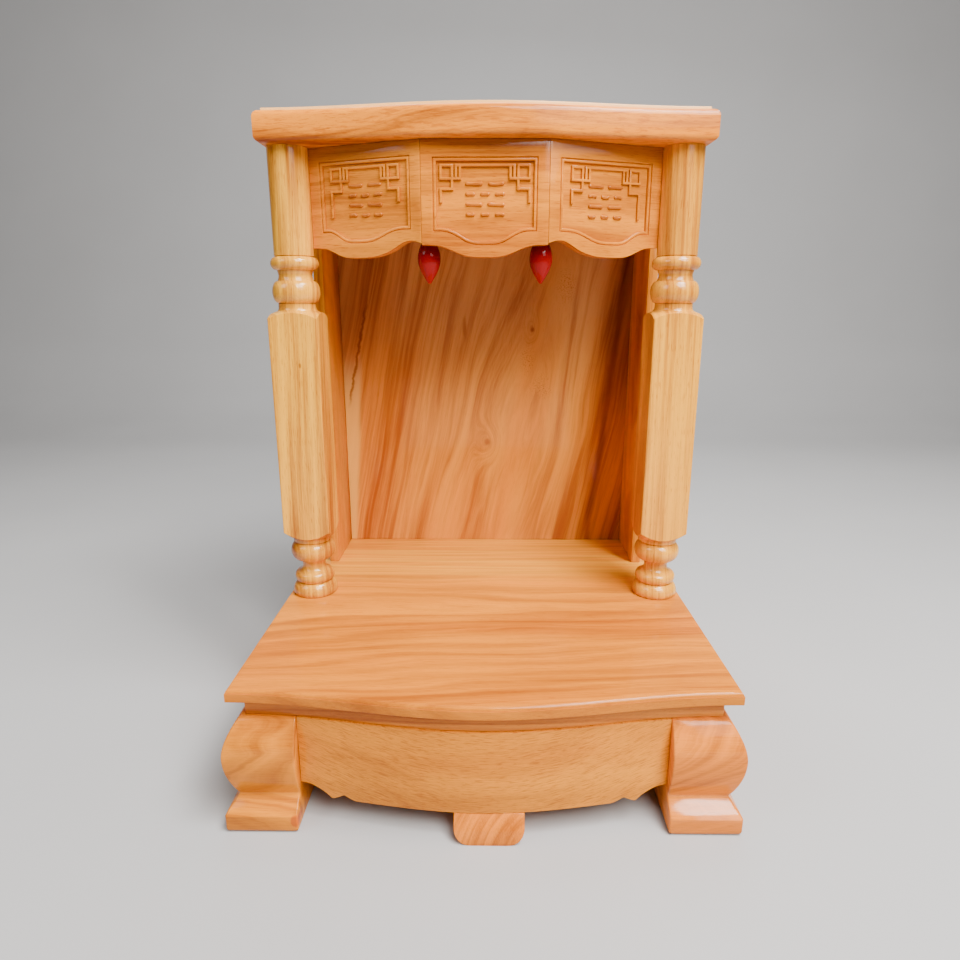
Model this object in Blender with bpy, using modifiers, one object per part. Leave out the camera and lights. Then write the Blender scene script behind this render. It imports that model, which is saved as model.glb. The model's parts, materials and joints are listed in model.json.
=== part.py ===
"""Household altar cabinet: a bow-fronted base on scrolled feet, two turned columns,
an open niche with panelled sides and back, a carved three-board fascia with two
flame lamps behind its seams, and a moulded top board.

The front faces -Y, +Z is up, and the origin is on the floor under the middle.
"""
import math

import bmesh
import bpy
from mathutils import Matrix, Vector

# Driving dimensions, in metres
JOINT_GAP = 0.0003           # between pieces that touch

BASE_WIDTH = 0.482           # base board, side to side
BASE_DEPTH = 0.440           # base board, front corners to back edge
BASE_BOW = 0.026             # how far the base board's front swells at the middle
BASE_THICK = 0.012
BASE_ROUND = 0.0040          # rounded upper edge of the base board
BASE_QUIRK = 0.0006          # small step under that round
BOW_STEPS = 20               # straight steps along a bowed front

RAIL_HEIGHT = 0.0210         # band between the base board and the feet
RAIL_OVERHANG = 0.013        # base board beyond the rails
RAIL_THICK = 0.018

FOOT_HEIGHT = 0.1145         # floor to rails
FOOT_BLOCK = 0.050           # foot block, without its scroll
FOOT_TOP_OUT = 0.0046        # scroll beyond the rails: at its top
FOOT_BULGE_OUT = 0.0200      # at its belly
FOOT_BULGE_HEIGHT = 0.077
FOOT_WAIST_OUT = 0.0093      # at its waist
FOOT_WAIST_HEIGHT = 0.034
FOOT_TOE_SIDE = 0.0200       # at its toe, sideways
FOOT_TOE_OUT = 0.0238        # and forwards
FOOT_TOE_HEIGHT = 0.0180
FOOT_EASE = 0.0028           # rounded bottom corners of the toe
FOOT_TOP_SHARE = 0.9         # fullness of the scroll above its belly
FOOT_LOW_SHARE = 0.85        # and below it
FOOT_TOE_HOLLOW = 0.25       # how hollow the run down to the toe is

APRON_THICK = 0.020
APRON_PROUD = 0.002          # front apron beyond the rail
APRON_LOW = 0.0275           # lowest edge above the floor
APRON_EAR = 0.0430           # edge height beside the feet
APRON_EAR_RUN = 0.030        # length of the curve down from the feet
APRON_CUSP = 0.0055          # height of the small notch after it
APRON_CUSP_RUN = 0.025
SIDE_APRON_LOW = 0.055       # plainer aprons at the sides and back

TONGUE_WIDTH = 0.067         # centre foot
TONGUE_OFFSET = 0.0055       # it sits a little right of the middle
TONGUE_FLARE = 0.0100        # how far its toe runs ahead of the apron
TONGUE_DEPTH = 0.034
TONGUE_CORNER = 0.016
TONGUE_CURL = 1.6            # how early its face runs forward

COLUMN_HEIGHT = 0.5055       # base board to top board
COLUMN_INSET = 0.031         # column axis from the base board's end
COLUMN_Y = 0.227             # column axis behind the base board's front corners
COLUMN_BLOCK = 0.054         # square part, across the flats
COLUMN_SHAFT = 0.0217        # radius of the plain round part under the top board
COLUMN_SIDES = 24            # flats around the turned parts

TOP_INSET = 0.006            # top board's ends behind the base board's
TOP_FRONT = 0.193            # top board's front corners behind the base board's
TOP_BOW = 0.025
TOP_THICK = 0.0325
TOP_FILLET = 0.0025          # small upright step at the top edge
TOP_OVOLO = 0.0075           # quarter round under it
TOP_UNDER_ROUND = 0.0050     # rounded lower edge

FASCIA_FRONT = 0.182         # middle board behind the base board's front corners
FASCIA_WIDTH = 0.1308        # middle board, seam to seam
FASCIA_THICK = 0.012
FASCIA_SEAM = 0.1005         # board height at the seams
FASCIA_DIP = 0.0120          # extra height at the middle of its wavy edge
WING_DIP = 0.0110            # the same on the side boards
FIELD_RAISE = {-1: 0.0025, 0: 0.0, 1: 0.0}    # the left field is cut a little higher
WING_LIFT = 0.0050           # small rise of the side boards' edge near the seam
WING_DIP_SHIFT = 0.0110      # their dip lies this far outside their middle
FIELD_TOP = 0.0165           # from the top of the board to its carved frame
FIELD_HALF = 0.0535          # half the frame's width
FIELD_BASE = 0.0875          # from the top of the board to the frame's lower corners
FIELD_DIP = 0.0135           # extra height at the middle of the frame's lower edge
WING_FIELD_DIP = 0.0120      # the same on the side boards
FRAME_WIDTH = 0.0042         # raised bead around the field
FRAME_GROOVE = 0.0012        # groove outside the bead
GROOVE_DEPTH = 0.0009
FIELD_DEPTH = 0.0024         # sunk ground of the carving
FRET_BAR = 0.0023
FRET_DROP = 0.0244           # from the top of the board to the fret's upper bar
FRET_HALF = 0.0450           # fret's outer bar from the middle
SIDE_FRET_HALF = 0.0395
FRET_RING = 0.0115           # width of the corner square
FRET_SLOT = 0.0040           # between the bars beside it
FRET_SQUARE = 0.0124         # depth of the corner square
FRET_STEP = 0.0222           # from the upper bar to the tail's step
FRET_TAIL = 0.0340           # from the upper bar to the tail's end
FRET_LONG_TAIL = 0.0470      # the outer tails of the side boards
STROKE_HEIGHT = 0.0034       # shallow strokes in rows under the fret
STROKE_ROW = 0.0098
STROKE_DROP = 0.0390         # from the top of the board to the first row
STROKE_SPREAD = 0.0200       # half the width of a row
STROKE_SPACE = 0.0060        # between strokes of a row
STROKES_IN_ROWS = (2, 3, 2, 3)
RELIEF_RISE = 0.0020         # carving above the sunk ground

SIDE_INSET = 0.039           # inside faces of the side panels from the base board's ends
SIDE_DEPTH = 0.104           # side panels, front to back
PANEL_THICK = 0.012
BACK_INSET = 0.012           # back panel ahead of the base board's back edge

LAMP_INSET = 0.0056          # lamp axis inside the fascia's seam
LAMP_BEHIND = 0.0135         # lamp axis behind the middle fascia board's back
LAMP_RADIUS = 0.0124
LAMP_TIP = 0.1385            # from the top board down to the lamp's tip
LAMP_LENGTH = 0.0440
LAMP_POINT = 0.0020          # radius of its blunt tip
LAMP_BELLY = 0.57            # its widest place, as a share of its length from the tip
LAMP_COLLAR = 0.0062         # radius of the lamp's open neck
HOLDER_RADIUS = 0.0105
HOLDER_CUP = 0.030
HOLDER_STEM = 0.0050
HOLDER_FLANGE = 0.0130
HOLDER_PLATE = 0.003

# Places worked out from them
BASE_UNDER = FOOT_HEIGHT + RAIL_HEIGHT
DECK = BASE_UNDER + BASE_THICK
TOP_UNDER = DECK + COLUMN_HEIGHT
RAIL_HALF = BASE_WIDTH / 2 - RAIL_OVERHANG
FOOT_INNER = RAIL_HALF - FOOT_BLOCK
BACK_REACH = BASE_DEPTH - RAIL_OVERHANG + FOOT_TOE_OUT
FRONT = (BASE_BOW - BACK_REACH) / 2     # Y of the base board's front corners
BACK = FRONT + BASE_DEPTH
RAIL_FRONT = FRONT + RAIL_OVERHANG
RAIL_BACK = BACK - RAIL_OVERHANG
COLUMN_X = BASE_WIDTH / 2 - COLUMN_INSET
SIDE_INNER = BASE_WIDTH / 2 - SIDE_INSET
PANEL_BACK = BACK - BACK_INSET
TOP_HALF = BASE_WIDTH / 2 - TOP_INSET
WING_ACROSS = COLUMN_X - COLUMN_SHAFT - JOINT_GAP - FASCIA_WIDTH / 2
WING_BACK = COLUMN_Y - FASCIA_FRONT
WING_WIDTH = math.hypot(WING_ACROSS, WING_BACK)   # side fascia boards reach the columns
WING_TURN = math.atan2(WING_BACK, WING_ACROSS)

BODY = "altar_cabinet"
WOOD = (0.62, 0.33, 0.12)
DEEP_WOOD = (0.55, 0.27, 0.09)
LAMP_RED = (0.55, 0.01, 0.02)
HOLDER_IVORY = (0.75, 0.68, 0.52)


def clear_scene():
    for obj in list(bpy.data.objects):
        bpy.data.objects.remove(obj, do_unlink=True)


def collection(name):
    made = bpy.data.collections.get(name) or bpy.data.collections.new(name)
    if name not in bpy.context.scene.collection.children:
        bpy.context.scene.collection.children.link(made)
    return made


def finish(obj, colour, roughness=0.28, metallic=0.0, smooth=True):
    """Give a piece its own material and soft shading across small angles."""
    material = bpy.data.materials.new(obj.name)
    material.use_nodes = True
    shader = material.node_tree.nodes["Principled BSDF"]
    shader.inputs["Base Color"].default_value = (*colour, 1)
    shader.inputs["Roughness"].default_value = roughness
    shader.inputs["Metallic"].default_value = metallic
    obj.data.materials.clear()
    obj.data.materials.append(material)
    if smooth:
        obj.data.shade_smooth()
        obj.data.set_sharp_from_angle(angle=math.radians(35))
    return obj


def place_mesh(bm, name, group, place=Matrix.Identity(4)):
    """Close a bmesh into a named object with its faces turned outwards."""
    bmesh.ops.recalc_face_normals(bm, faces=bm.faces)
    mesh = bpy.data.meshes.new(name)
    bm.to_mesh(mesh)
    bm.free()
    obj = bpy.data.objects.new(name, mesh)
    obj.matrix_world = place
    group.objects.link(obj)
    return obj


def bends(points):
    """The outline without the points that lie on a straight run."""
    kept = []
    for i, here in enumerate(points):
        before, after = points[i - 1], points[(i + 1) % len(points)]
        cross = (here[0] - before[0]) * (after[1] - here[1]) - (here[1] - before[1]) * (after[0] - here[0])
        if abs(cross) > 1e-9:
            kept.append(here)
    return kept


def outline_solid(name, points, depth, group, place=Matrix.Identity(4)):
    """A flat outline thickened by depth and placed as a mesh object."""
    points = bends(points)
    curve = bpy.data.curves.new(name + "_outline", "CURVE")
    curve.dimensions = "2D"
    curve.fill_mode = "BOTH"
    curve.extrude = depth / 2
    spline = curve.splines.new("POLY")
    spline.points.add(len(points) - 1)
    for slot, (x, y) in zip(spline.points, points):
        slot.co = (x, y, 0, 1)
    spline.use_cyclic_u = True
    guide = bpy.data.objects.new(name + "_outline", curve)
    group.objects.link(guide)
    graph = bpy.context.evaluated_depsgraph_get()
    mesh = bpy.data.meshes.new_from_object(guide.evaluated_get(graph))
    bpy.data.objects.remove(guide, do_unlink=True)
    bm = bmesh.new()
    bm.from_mesh(mesh)
    bpy.data.meshes.remove(mesh)
    bmesh.ops.remove_doubles(bm, verts=bm.verts, dist=0.00001)
    # Each flat cap becomes one face, free of the slivers of its filling
    bmesh.ops.dissolve_limit(bm, angle_limit=0.0005, verts=bm.verts, edges=bm.edges)
    return place_mesh(bm, name, group, place)


def boxed(name, low, high, group):
    """A plain squared board between two corners."""
    bm = bmesh.new()
    bmesh.ops.create_cube(bm, size=1)
    bmesh.ops.scale(bm, vec=Vector(high) - Vector(low), verts=bm.verts)
    middle = (Vector(high) + Vector(low)) / 2
    return place_mesh(bm, name, group, Matrix.Translation(middle))


def boolean(obj, other, operation="DIFFERENCE"):
    step = obj.modifiers.new(operation.lower() + "_" + other.name, "BOOLEAN")
    step.operation = operation
    step.object = other
    step.solver = "EXACT"
    return obj


def as_cutter(obj):
    obj.hide_render = True
    obj.display_type = "WIRE"
    return obj


def arc(steps):
    """Angles of a quarter turn, without its start."""
    return [math.pi / 2 * (i + 1) / steps for i in range(steps)]


def quarter_round(radius):
    """Inset steps of a rounded edge, each inwards and then up."""
    angles = [0.0] + arc(4)
    return [
        (radius * (math.cos(a) - math.cos(b)), radius * (math.sin(b) - math.sin(a)))
        for a, b in zip(angles, angles[1:])]


def bell(x, half):
    """One at the middle, falling smoothly to nothing at half."""
    if abs(x) >= half:
        return 0.0
    return 0.5 * (1 + math.cos(math.pi * x / half))


def bowed_outline(half, front, back, bow, span):
    """Corners of a board whose front edge swells forward by bow."""
    steps = [-half + 2 * half * i / BOW_STEPS for i in range(BOW_STEPS + 1)]
    points = [(x, front - bow * bell(x, span)) for x in steps]
    return points + [(half, back), (-half, back)]


def roll_edge(obj, steps, up):
    """Shape a board's upper or lower edge by insetting its face step by step.

    Each step is (inwards, outwards along the face's normal).
    """
    bm = bmesh.new()
    bm.from_mesh(obj.data)
    for inwards, outwards in steps:
        limit = max(v.co.z * up for v in bm.verts) - 0.00001
        faces = [f for f in bm.faces if f.normal.z * up > 0.99 and f.verts[0].co.z * up > limit]
        if inwards == 0:
            grown = bmesh.ops.extrude_face_region(bm, geom=faces)["geom"]
            bmesh.ops.delete(bm, geom=faces, context="FACES_ONLY")
            moved = [v for v in grown if isinstance(v, bmesh.types.BMVert)]
            bmesh.ops.translate(bm, vec=(0, 0, outwards * up), verts=moved)
        else:
            bmesh.ops.inset_region(
                bm, faces=faces, thickness=inwards, depth=outwards,
                use_boundary=True, use_even_offset=True)
        bm.normal_update()
    bm.to_mesh(obj.data)
    bm.free()
    return obj


def trim_back(obj, y):
    """Cut a board off square at its back and close the cut."""
    bm = bmesh.new()
    bm.from_mesh(obj.data)
    cut = bmesh.ops.bisect_plane(
        bm, geom=bm.verts[:] + bm.edges[:] + bm.faces[:], dist=0.000001,
        plane_co=(0, y, 0), plane_no=(0, 1, 0), clear_outer=True)
    rim = [e for e in cut["geom_cut"] if isinstance(e, bmesh.types.BMEdge)]
    bmesh.ops.contextual_create(bm, geom=rim)
    bmesh.ops.recalc_face_normals(bm, faces=bm.faces)
    bm.to_mesh(obj.data)
    bm.free()
    return obj


def base_board(group):
    """Bow-fronted board with a rounded upper edge over a small step."""
    spare = BASE_ROUND + BASE_QUIRK
    points = bowed_outline(BASE_WIDTH / 2, FRONT, BACK + spare, BASE_BOW, BASE_WIDTH / 2)
    flat = BASE_THICK - BASE_ROUND
    board = outline_solid(
        "base_board", points, flat, group, Matrix.Translation((0, 0, BASE_UNDER + flat / 2)))
    roll_edge(board, [(BASE_QUIRK, 0.0)] + quarter_round(BASE_ROUND), 1)
    trim_back(board, BACK)
    return finish(board, WOOD, 0.22)


def top_board(group):
    """Bow-fronted top: fillet, quarter round, upright edge, rounded under-edge."""
    spare = TOP_OVOLO + TOP_UNDER_ROUND
    points = bowed_outline(TOP_HALF, FRONT + TOP_FRONT, BACK + spare, TOP_BOW, TOP_HALF)
    flat = TOP_THICK - TOP_OVOLO - TOP_FILLET - TOP_UNDER_ROUND
    middle = TOP_UNDER + TOP_UNDER_ROUND + flat / 2
    board = outline_solid("top_board", points, flat, group, Matrix.Translation((0, 0, middle)))
    roll_edge(board, quarter_round(TOP_OVOLO) + [(0, TOP_FILLET)], 1)
    roll_edge(board, quarter_round(TOP_UNDER_ROUND), -1)
    trim_back(board, BACK)
    return finish(board, WOOD, 0.22)


def rails(group):
    """The band under the base board: a bowed front and three straight pieces."""
    low = FOOT_HEIGHT
    height = RAIL_HEIGHT - JOINT_GAP
    inner = RAIL_FRONT + RAIL_THICK
    points = bowed_outline(RAIL_HALF, RAIL_FRONT, inner, BASE_BOW, RAIL_HALF)
    front = outline_solid("rail_front", points, height, group, Matrix.Translation((0, 0, low + height / 2)))
    finish(front, WOOD)
    for side, name in ((-1, "rail_left"), (1, "rail_right")):
        xs = sorted((side * RAIL_HALF, side * (RAIL_HALF - RAIL_THICK)))
        piece = boxed(
            name, (xs[0], inner + JOINT_GAP, low),
            (xs[1], RAIL_BACK - RAIL_THICK - JOINT_GAP, low + height), group)
        finish(piece, WOOD)
    back = boxed(
        "rail_back", (-RAIL_HALF, RAIL_BACK - RAIL_THICK, low), (RAIL_HALF, RAIL_BACK, low + height), group)
    finish(back, WOOD)


def scroll_out(height, toe_out):
    """How far the foot's scroll stands beyond the rails at a height."""
    if height >= FOOT_BULGE_HEIGHT:
        share = (height - FOOT_BULGE_HEIGHT) / (FOOT_HEIGHT - FOOT_BULGE_HEIGHT)
        swell = math.cos(math.pi / 2 * share) ** FOOT_TOP_SHARE
        return FOOT_TOP_OUT + (FOOT_BULGE_OUT - FOOT_TOP_OUT) * swell
    if height >= FOOT_WAIST_HEIGHT:
        share = (height - FOOT_WAIST_HEIGHT) / (FOOT_BULGE_HEIGHT - FOOT_WAIST_HEIGHT)
        swell = math.sin(math.pi / 2 * share) ** FOOT_LOW_SHARE
        return FOOT_WAIST_OUT + (FOOT_BULGE_OUT - FOOT_WAIST_OUT) * swell
    share = (height - FOOT_TOE_HEIGHT) / (FOOT_WAIST_HEIGHT - FOOT_TOE_HEIGHT)
    share -= FOOT_TOE_HOLLOW * math.sin(2 * math.pi * share) / (2 * math.pi)
    return toe_out + (FOOT_WAIST_OUT - toe_out) * share


def foot_profile(toe_out):
    """Side view of a foot: distance beyond the rails against height, floor to top."""
    def heights(low, high, count, power=1.0):
        return [low + (high - low) * (i / count) ** power for i in range(1, count + 1)]

    points = [(-FOOT_BLOCK, FOOT_EASE), (FOOT_EASE - FOOT_BLOCK, 0.0)]
    points += [(toe_out - FOOT_EASE, 0.0), (toe_out, FOOT_EASE), (toe_out, FOOT_TOE_HEIGHT)]
    rise = heights(FOOT_TOE_HEIGHT, FOOT_WAIST_HEIGHT, 4)
    rise += heights(FOOT_WAIST_HEIGHT, FOOT_BULGE_HEIGHT, 7, 1.3)
    rise += heights(FOOT_BULGE_HEIGHT, FOOT_HEIGHT, 6)[:-1]
    points += [(scroll_out(z, toe_out), z) for z in rise]
    points += [(FOOT_TOP_OUT, FOOT_HEIGHT - JOINT_GAP), (-FOOT_BLOCK, FOOT_HEIGHT - JOINT_GAP)]
    return points


def foot(name, side, end, group, cutters):
    """A foot whose scroll shows on its outer and end faces and meets at a mitre."""
    edge_y = RAIL_FRONT if end < 0 else RAIL_BACK
    # Seen from the front: outline in X and Z, run through the foot in Y
    face_on = [(side * (RAIL_HALF + out), z) for out, z in foot_profile(FOOT_TOE_SIDE)]
    upright = Matrix.Rotation(math.pi / 2, 4, "X")
    middle_y = edge_y + end * (FOOT_TOE_OUT - FOOT_BLOCK) / 2
    piece = outline_solid(
        name, face_on, FOOT_BLOCK + FOOT_TOE_OUT, group, Matrix.Translation((0, middle_y, 0)) @ upright)
    # Seen from the side: outline in Y and Z, run through in X
    end_on = [(end * out, z) for out, z in foot_profile(FOOT_TOE_OUT)]
    turn = Matrix(((0, 0, 1, 0), (1, 0, 0, edge_y), (0, 1, 0, 0), (0, 0, 0, 1)))
    turn[0][3] = side * (RAIL_HALF + (FOOT_TOE_SIDE - FOOT_BLOCK) / 2)
    shaper = outline_solid(name + "_end_shape", end_on, 2 * FOOT_BLOCK, cutters, turn)
    boolean(piece, as_cutter(shaper), "INTERSECT")
    return finish(piece, WOOD)


def feet(group, cutters):
    for side, hand in ((-1, "left"), (1, "right")):
        foot("foot_front_" + hand, side, -1, group, cutters)
        foot("foot_back_" + hand, side, 1, group, cutters)


def apron_edge(x):
    """Height of the front apron's scalloped lower edge at a place across it."""
    from_foot = FOOT_INNER - abs(x)
    if from_foot < APRON_EAR_RUN:
        share = from_foot / APRON_EAR_RUN
        return APRON_LOW + (APRON_EAR - APRON_LOW) * math.cos(math.pi / 2 * share) ** 0.8
    past = from_foot - APRON_EAR_RUN
    if past < APRON_CUSP_RUN:
        share = past / APRON_CUSP_RUN
        return APRON_LOW + APRON_CUSP * (1 - abs(2 * share - 1)) ** 1.4
    return APRON_LOW


def aprons(group, cutters):
    """Bowed front apron with a scalloped edge, and plain ones at sides and back."""
    half = FOOT_INNER - JOINT_GAP
    top = FOOT_HEIGHT - JOINT_GAP
    steps = [-half + 2 * half * i / BOW_STEPS for i in range(BOW_STEPS + 1)]
    face = RAIL_FRONT - APRON_PROUD
    front_edge = [(x, face - BASE_BOW * bell(x, RAIL_HALF)) for x in steps]
    back_edge = [(x, y + APRON_THICK) for x, y in reversed(front_edge)]
    low = APRON_LOW - 0.01
    piece = outline_solid(
        "apron_front", front_edge + back_edge, top - low, group, Matrix.Translation((0, 0, (top + low) / 2)))
    runs = [FOOT_INNER - APRON_EAR_RUN * i / 6 for i in range(7)]
    runs += [FOOT_INNER - APRON_EAR_RUN - APRON_CUSP_RUN * i / 6 for i in range(1, 7)]
    edge = [(-FOOT_INNER - 0.01, APRON_EAR)]
    edge += [(-x, apron_edge(x)) for x in runs] + [(x, apron_edge(x)) for x in reversed(runs)]
    edge += [(FOOT_INNER + 0.01, APRON_EAR), (FOOT_INNER + 0.01, low - 0.01), (-FOOT_INNER - 0.01, low - 0.01)]
    upright = Matrix.Rotation(math.pi / 2, 4, "X")
    depth = 2 * (BASE_BOW + APRON_THICK + APRON_PROUD)
    cutter = outline_solid(
        "apron_scallops", edge, depth, cutters, Matrix.Translation((0, RAIL_FRONT, 0)) @ upright)
    boolean(piece, as_cutter(cutter))
    finish(piece, WOOD)
    near = RAIL_FRONT + FOOT_BLOCK + JOINT_GAP
    far = RAIL_BACK - FOOT_BLOCK - JOINT_GAP
    for side, name in ((-1, "apron_left"), (1, "apron_right")):
        xs = sorted((side * RAIL_HALF, side * (RAIL_HALF - APRON_THICK)))
        finish(boxed(name, (xs[0], near, SIDE_APRON_LOW), (xs[1], far, top), group), WOOD)
    back = boxed(
        "apron_back", (-half, RAIL_BACK - APRON_THICK, SIDE_APRON_LOW), (half, RAIL_BACK, top), group)
    finish(back, WOOD)


def centre_foot(group, cutters):
    """Tongue under the apron's middle: its face flares forward to the floor."""
    top = APRON_LOW - JOINT_GAP
    apron_face = RAIL_FRONT - APRON_PROUD - BASE_BOW
    start = apron_face + 0.001
    ahead = start - apron_face + TONGUE_FLARE
    side_view = []
    for i in range(6):
        share = i / 5
        side_view.append((start - ahead * (1 - (1 - share) ** TONGUE_CURL), top * (1 - share)))
    side_view += [(start + TONGUE_DEPTH, 0.0), (start + TONGUE_DEPTH, top)]
    turn = Matrix(((0, 0, 1, TONGUE_OFFSET), (1, 0, 0, 0), (0, 1, 0, 0), (0, 0, 0, 1)))
    piece = outline_solid("centre_foot", side_view, TONGUE_WIDTH, group, turn)
    half = TONGUE_WIDTH / 2
    right = [(half + 0.001, top + 0.01), (half, TONGUE_CORNER)]
    for a in arc(5)[:-1]:
        right.append((half - TONGUE_CORNER * (1 - math.cos(a)), TONGUE_CORNER * (1 - math.sin(a))))
    right.append((half - TONGUE_CORNER, -0.0001))
    outline = [(x, z) for x, z in right] + [(-x, z) for x, z in reversed(right)]
    upright = Matrix.Rotation(math.pi / 2, 4, "X")
    shaper = outline_solid(
        "centre_foot_shape", outline, 4 * TONGUE_DEPTH, cutters,
        Matrix.Translation((TONGUE_OFFSET, apron_face, 0)) @ upright)
    boolean(piece, as_cutter(shaper), "INTERSECT")
    return finish(piece, DEEP_WOOD)


def bead(low, high, neck, wide, steps=5):
    """Half-round moulding on a turning, from its lower to its upper edge."""
    points = []
    for i in range(steps + 1):
        angle = math.pi * i / steps
        z = (low + high) / 2 - (high - low) / 2 * math.cos(angle)
        points.append((neck + (wide - neck) * math.sin(angle), z))
    return points


def hollow(low, high, ends, waist, steps=4):
    """Cove between two mouldings, without its ends."""
    points = []
    for i in range(1, steps):
        share = i / steps
        points.append((ends - (ends - waist) * math.sin(math.pi * share), low + (high - low) * share))
    return points


def column_profile():
    """Radius against height above the base board, from the foot up."""
    corner = COLUMN_BLOCK / 2 * math.sqrt(2) + 0.0005
    flat = COLUMN_BLOCK / 2
    points = [(0.0, 0.0), (0.0255, 0.0), (0.0268, 0.0030), (0.0266, 0.0070), (0.0250, 0.0115), (0.0222, 0.0150)]
    points += [(0.0213, 0.0160)]
    points += bead(0.0165, 0.0318, 0.0192, 0.0232)[1:]
    points += hollow(0.0318, 0.0455, 0.0192, 0.0146)
    points += bead(0.0455, 0.0680, 0.0180, 0.0264)
    points += [(0.0225, 0.0690), (0.0225, 0.0735), (flat - 0.004, 0.0738)]
    points += [(flat, 0.0772), (flat + 0.004, 0.0792), (corner, 0.0850)]
    points += [(corner, 0.3290), (flat + 0.004, 0.3342), (flat, 0.3362), (flat - 0.004, 0.3378)]
    points += [(0.0206, 0.3405), (0.0206, 0.3460)]
    points += bead(0.3465, 0.3705, 0.0200, 0.0262, 7)[1:]
    points += hollow(0.3705, 0.3815, 0.0200, 0.0183)
    points += bead(0.3815, 0.3960, 0.0195, 0.0262)
    points += [(COLUMN_SHAFT, 0.3962), (COLUMN_SHAFT, COLUMN_HEIGHT)]
    return points + [(0.0, COLUMN_HEIGHT)]


def turned(name, profile, sides, group, place):
    """A turned solid: a profile, listed bottom to top, with a Screw modifier."""
    mesh = bpy.data.meshes.new(name)
    ordered = list(reversed(profile))
    mesh.from_pydata([(r, 0, z) for r, z in ordered], [(i, i + 1) for i in range(len(ordered) - 1)], [])
    guide = bpy.data.objects.new(name + "_profile", mesh)
    group.objects.link(guide)
    spin = guide.modifiers.new("turn", "SCREW")
    spin.steps = sides
    spin.render_steps = sides
    spin.use_merge_vertices = True
    spin.merge_threshold = 0.00001
    graph = bpy.context.evaluated_depsgraph_get()
    made = bpy.data.meshes.new_from_object(guide.evaluated_get(graph))
    bpy.data.objects.remove(guide, do_unlink=True)
    bm = bmesh.new()
    bm.from_mesh(made)
    bpy.data.meshes.remove(made)
    bmesh.ops.remove_doubles(bm, verts=bm.verts, dist=0.00001)
    return place_mesh(bm, name, group, Matrix.Translation(place))


def columns(group, cutters):
    """Two turned columns whose middle length stays square."""
    profile = [(r, z) for r, z in column_profile()]
    profile[0] = (0.0, JOINT_GAP)
    profile[1] = (profile[1][0], JOINT_GAP)
    profile[-1] = (0.0, COLUMN_HEIGHT - JOINT_GAP)
    profile[-2] = (profile[-2][0], COLUMN_HEIGHT - JOINT_GAP)
    for side, name in ((-1, "column_left"), (1, "column_right")):
        place = (side * COLUMN_X, FRONT + COLUMN_Y, DECK)
        piece = turned(name, profile, COLUMN_SIDES, group, place)
        flat = COLUMN_BLOCK / 2
        square = boxed(
            name + "_square", (place[0] - flat, place[1] - flat, DECK - 0.01),
            (place[0] + flat, place[1] + flat, TOP_UNDER + 0.01), cutters)
        boolean(piece, as_cutter(square), "INTERSECT")
        finish(piece, WOOD)


def dip(u, half, centre):
    """A smooth dip of an edge: one at its centre, nothing at both ends."""
    run = half + centre if u < centre else half - centre
    share = bell(u - centre, run)
    return share * share * (3 - 2 * share)


def wavy_edge(u, half, hand):
    """Distance from the top of a fascia board to its lower edge, u from its middle."""
    drop = FASCIA_SEAM + (WING_DIP if hand else FASCIA_DIP) * dip(u, half, hand * WING_DIP_SHIFT)
    if hand:
        drop -= WING_LIFT * bell(-hand * u - 0.78 * half, 0.38 * half)
    return drop


def field_plate(name, hand, inset, low, high, group, place):
    """The frame's outline, inset, and thickened between two heights off the board's face."""
    half = FIELD_HALF - inset
    raised = FIELD_RAISE[hand]
    points = [(-half, raised - FIELD_TOP - inset), (half, raised - FIELD_TOP - inset)]
    for i in range(17):
        u = half * (1 - i / 8)
        sag = (WING_FIELD_DIP if hand else FIELD_DIP) * dip(u, half, hand * WING_DIP_SHIFT)
        low_edge = FIELD_BASE - raised + sag
        points.append((u, inset - low_edge))
    return outline_solid(name, points, high - low, group, place @ Matrix.Translation((0, 0, (low + high) / 2)))


def rect(u0, v0, u1, v1):
    return [(u0, v0), (u1, v0), (u1, v1), (u0, v1)]


def fret_bars(hand):
    """Bars of the square key pattern in the upper corners and the bar between them."""
    outer = SIDE_FRET_HALF if hand else FRET_HALF
    near, far = FRET_RING + FRET_SLOT, FRET_RING + 2 * FRET_SLOT
    bars = []

    def bar(side, a0, v0, a1, v1):
        u0, u1 = sorted((side * (outer - a0), side * (outer - a1)))
        bars.append((
            u0 - FRET_BAR / 2, FRET_DROP + v0 - FRET_BAR / 2,
            u1 + FRET_BAR / 2, FRET_DROP + v1 + FRET_BAR / 2))

    for side in (-1, 1):
        bar(side, 0, 0, FRET_RING, 0)
        bar(side, 0, 0, 0, FRET_SQUARE)
        bar(side, FRET_RING, 0, FRET_RING, FRET_STEP)
        bar(side, near, 0, near, FRET_SQUARE)
        bar(side, far, 0, far, FRET_SQUARE)
        bar(side, near, 0, far, 0)
        bar(side, 0, FRET_SQUARE, far, FRET_SQUARE)
        bar(side, 0, FRET_STEP, FRET_RING, FRET_STEP)
        bar(side, 0, FRET_STEP, 0, FRET_LONG_TAIL if side == hand else FRET_TAIL)
    bar(1, far, 0, 2 * outer - far, 0)
    return bars


def stroke_bars():
    """Rows of short level strokes under the fret; they aren't writing."""
    bars = []
    for row, count in enumerate(STROKES_IN_ROWS):
        pitch = (2 * STROKE_SPREAD + STROKE_SPACE) / count
        v = STROKE_DROP + row * STROKE_ROW
        for i in range(count):
            u = i * pitch - STROKE_SPREAD
            bars.append((u, v, u + pitch - STROKE_SPACE, v + STROKE_HEIGHT))
    return bars


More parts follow.
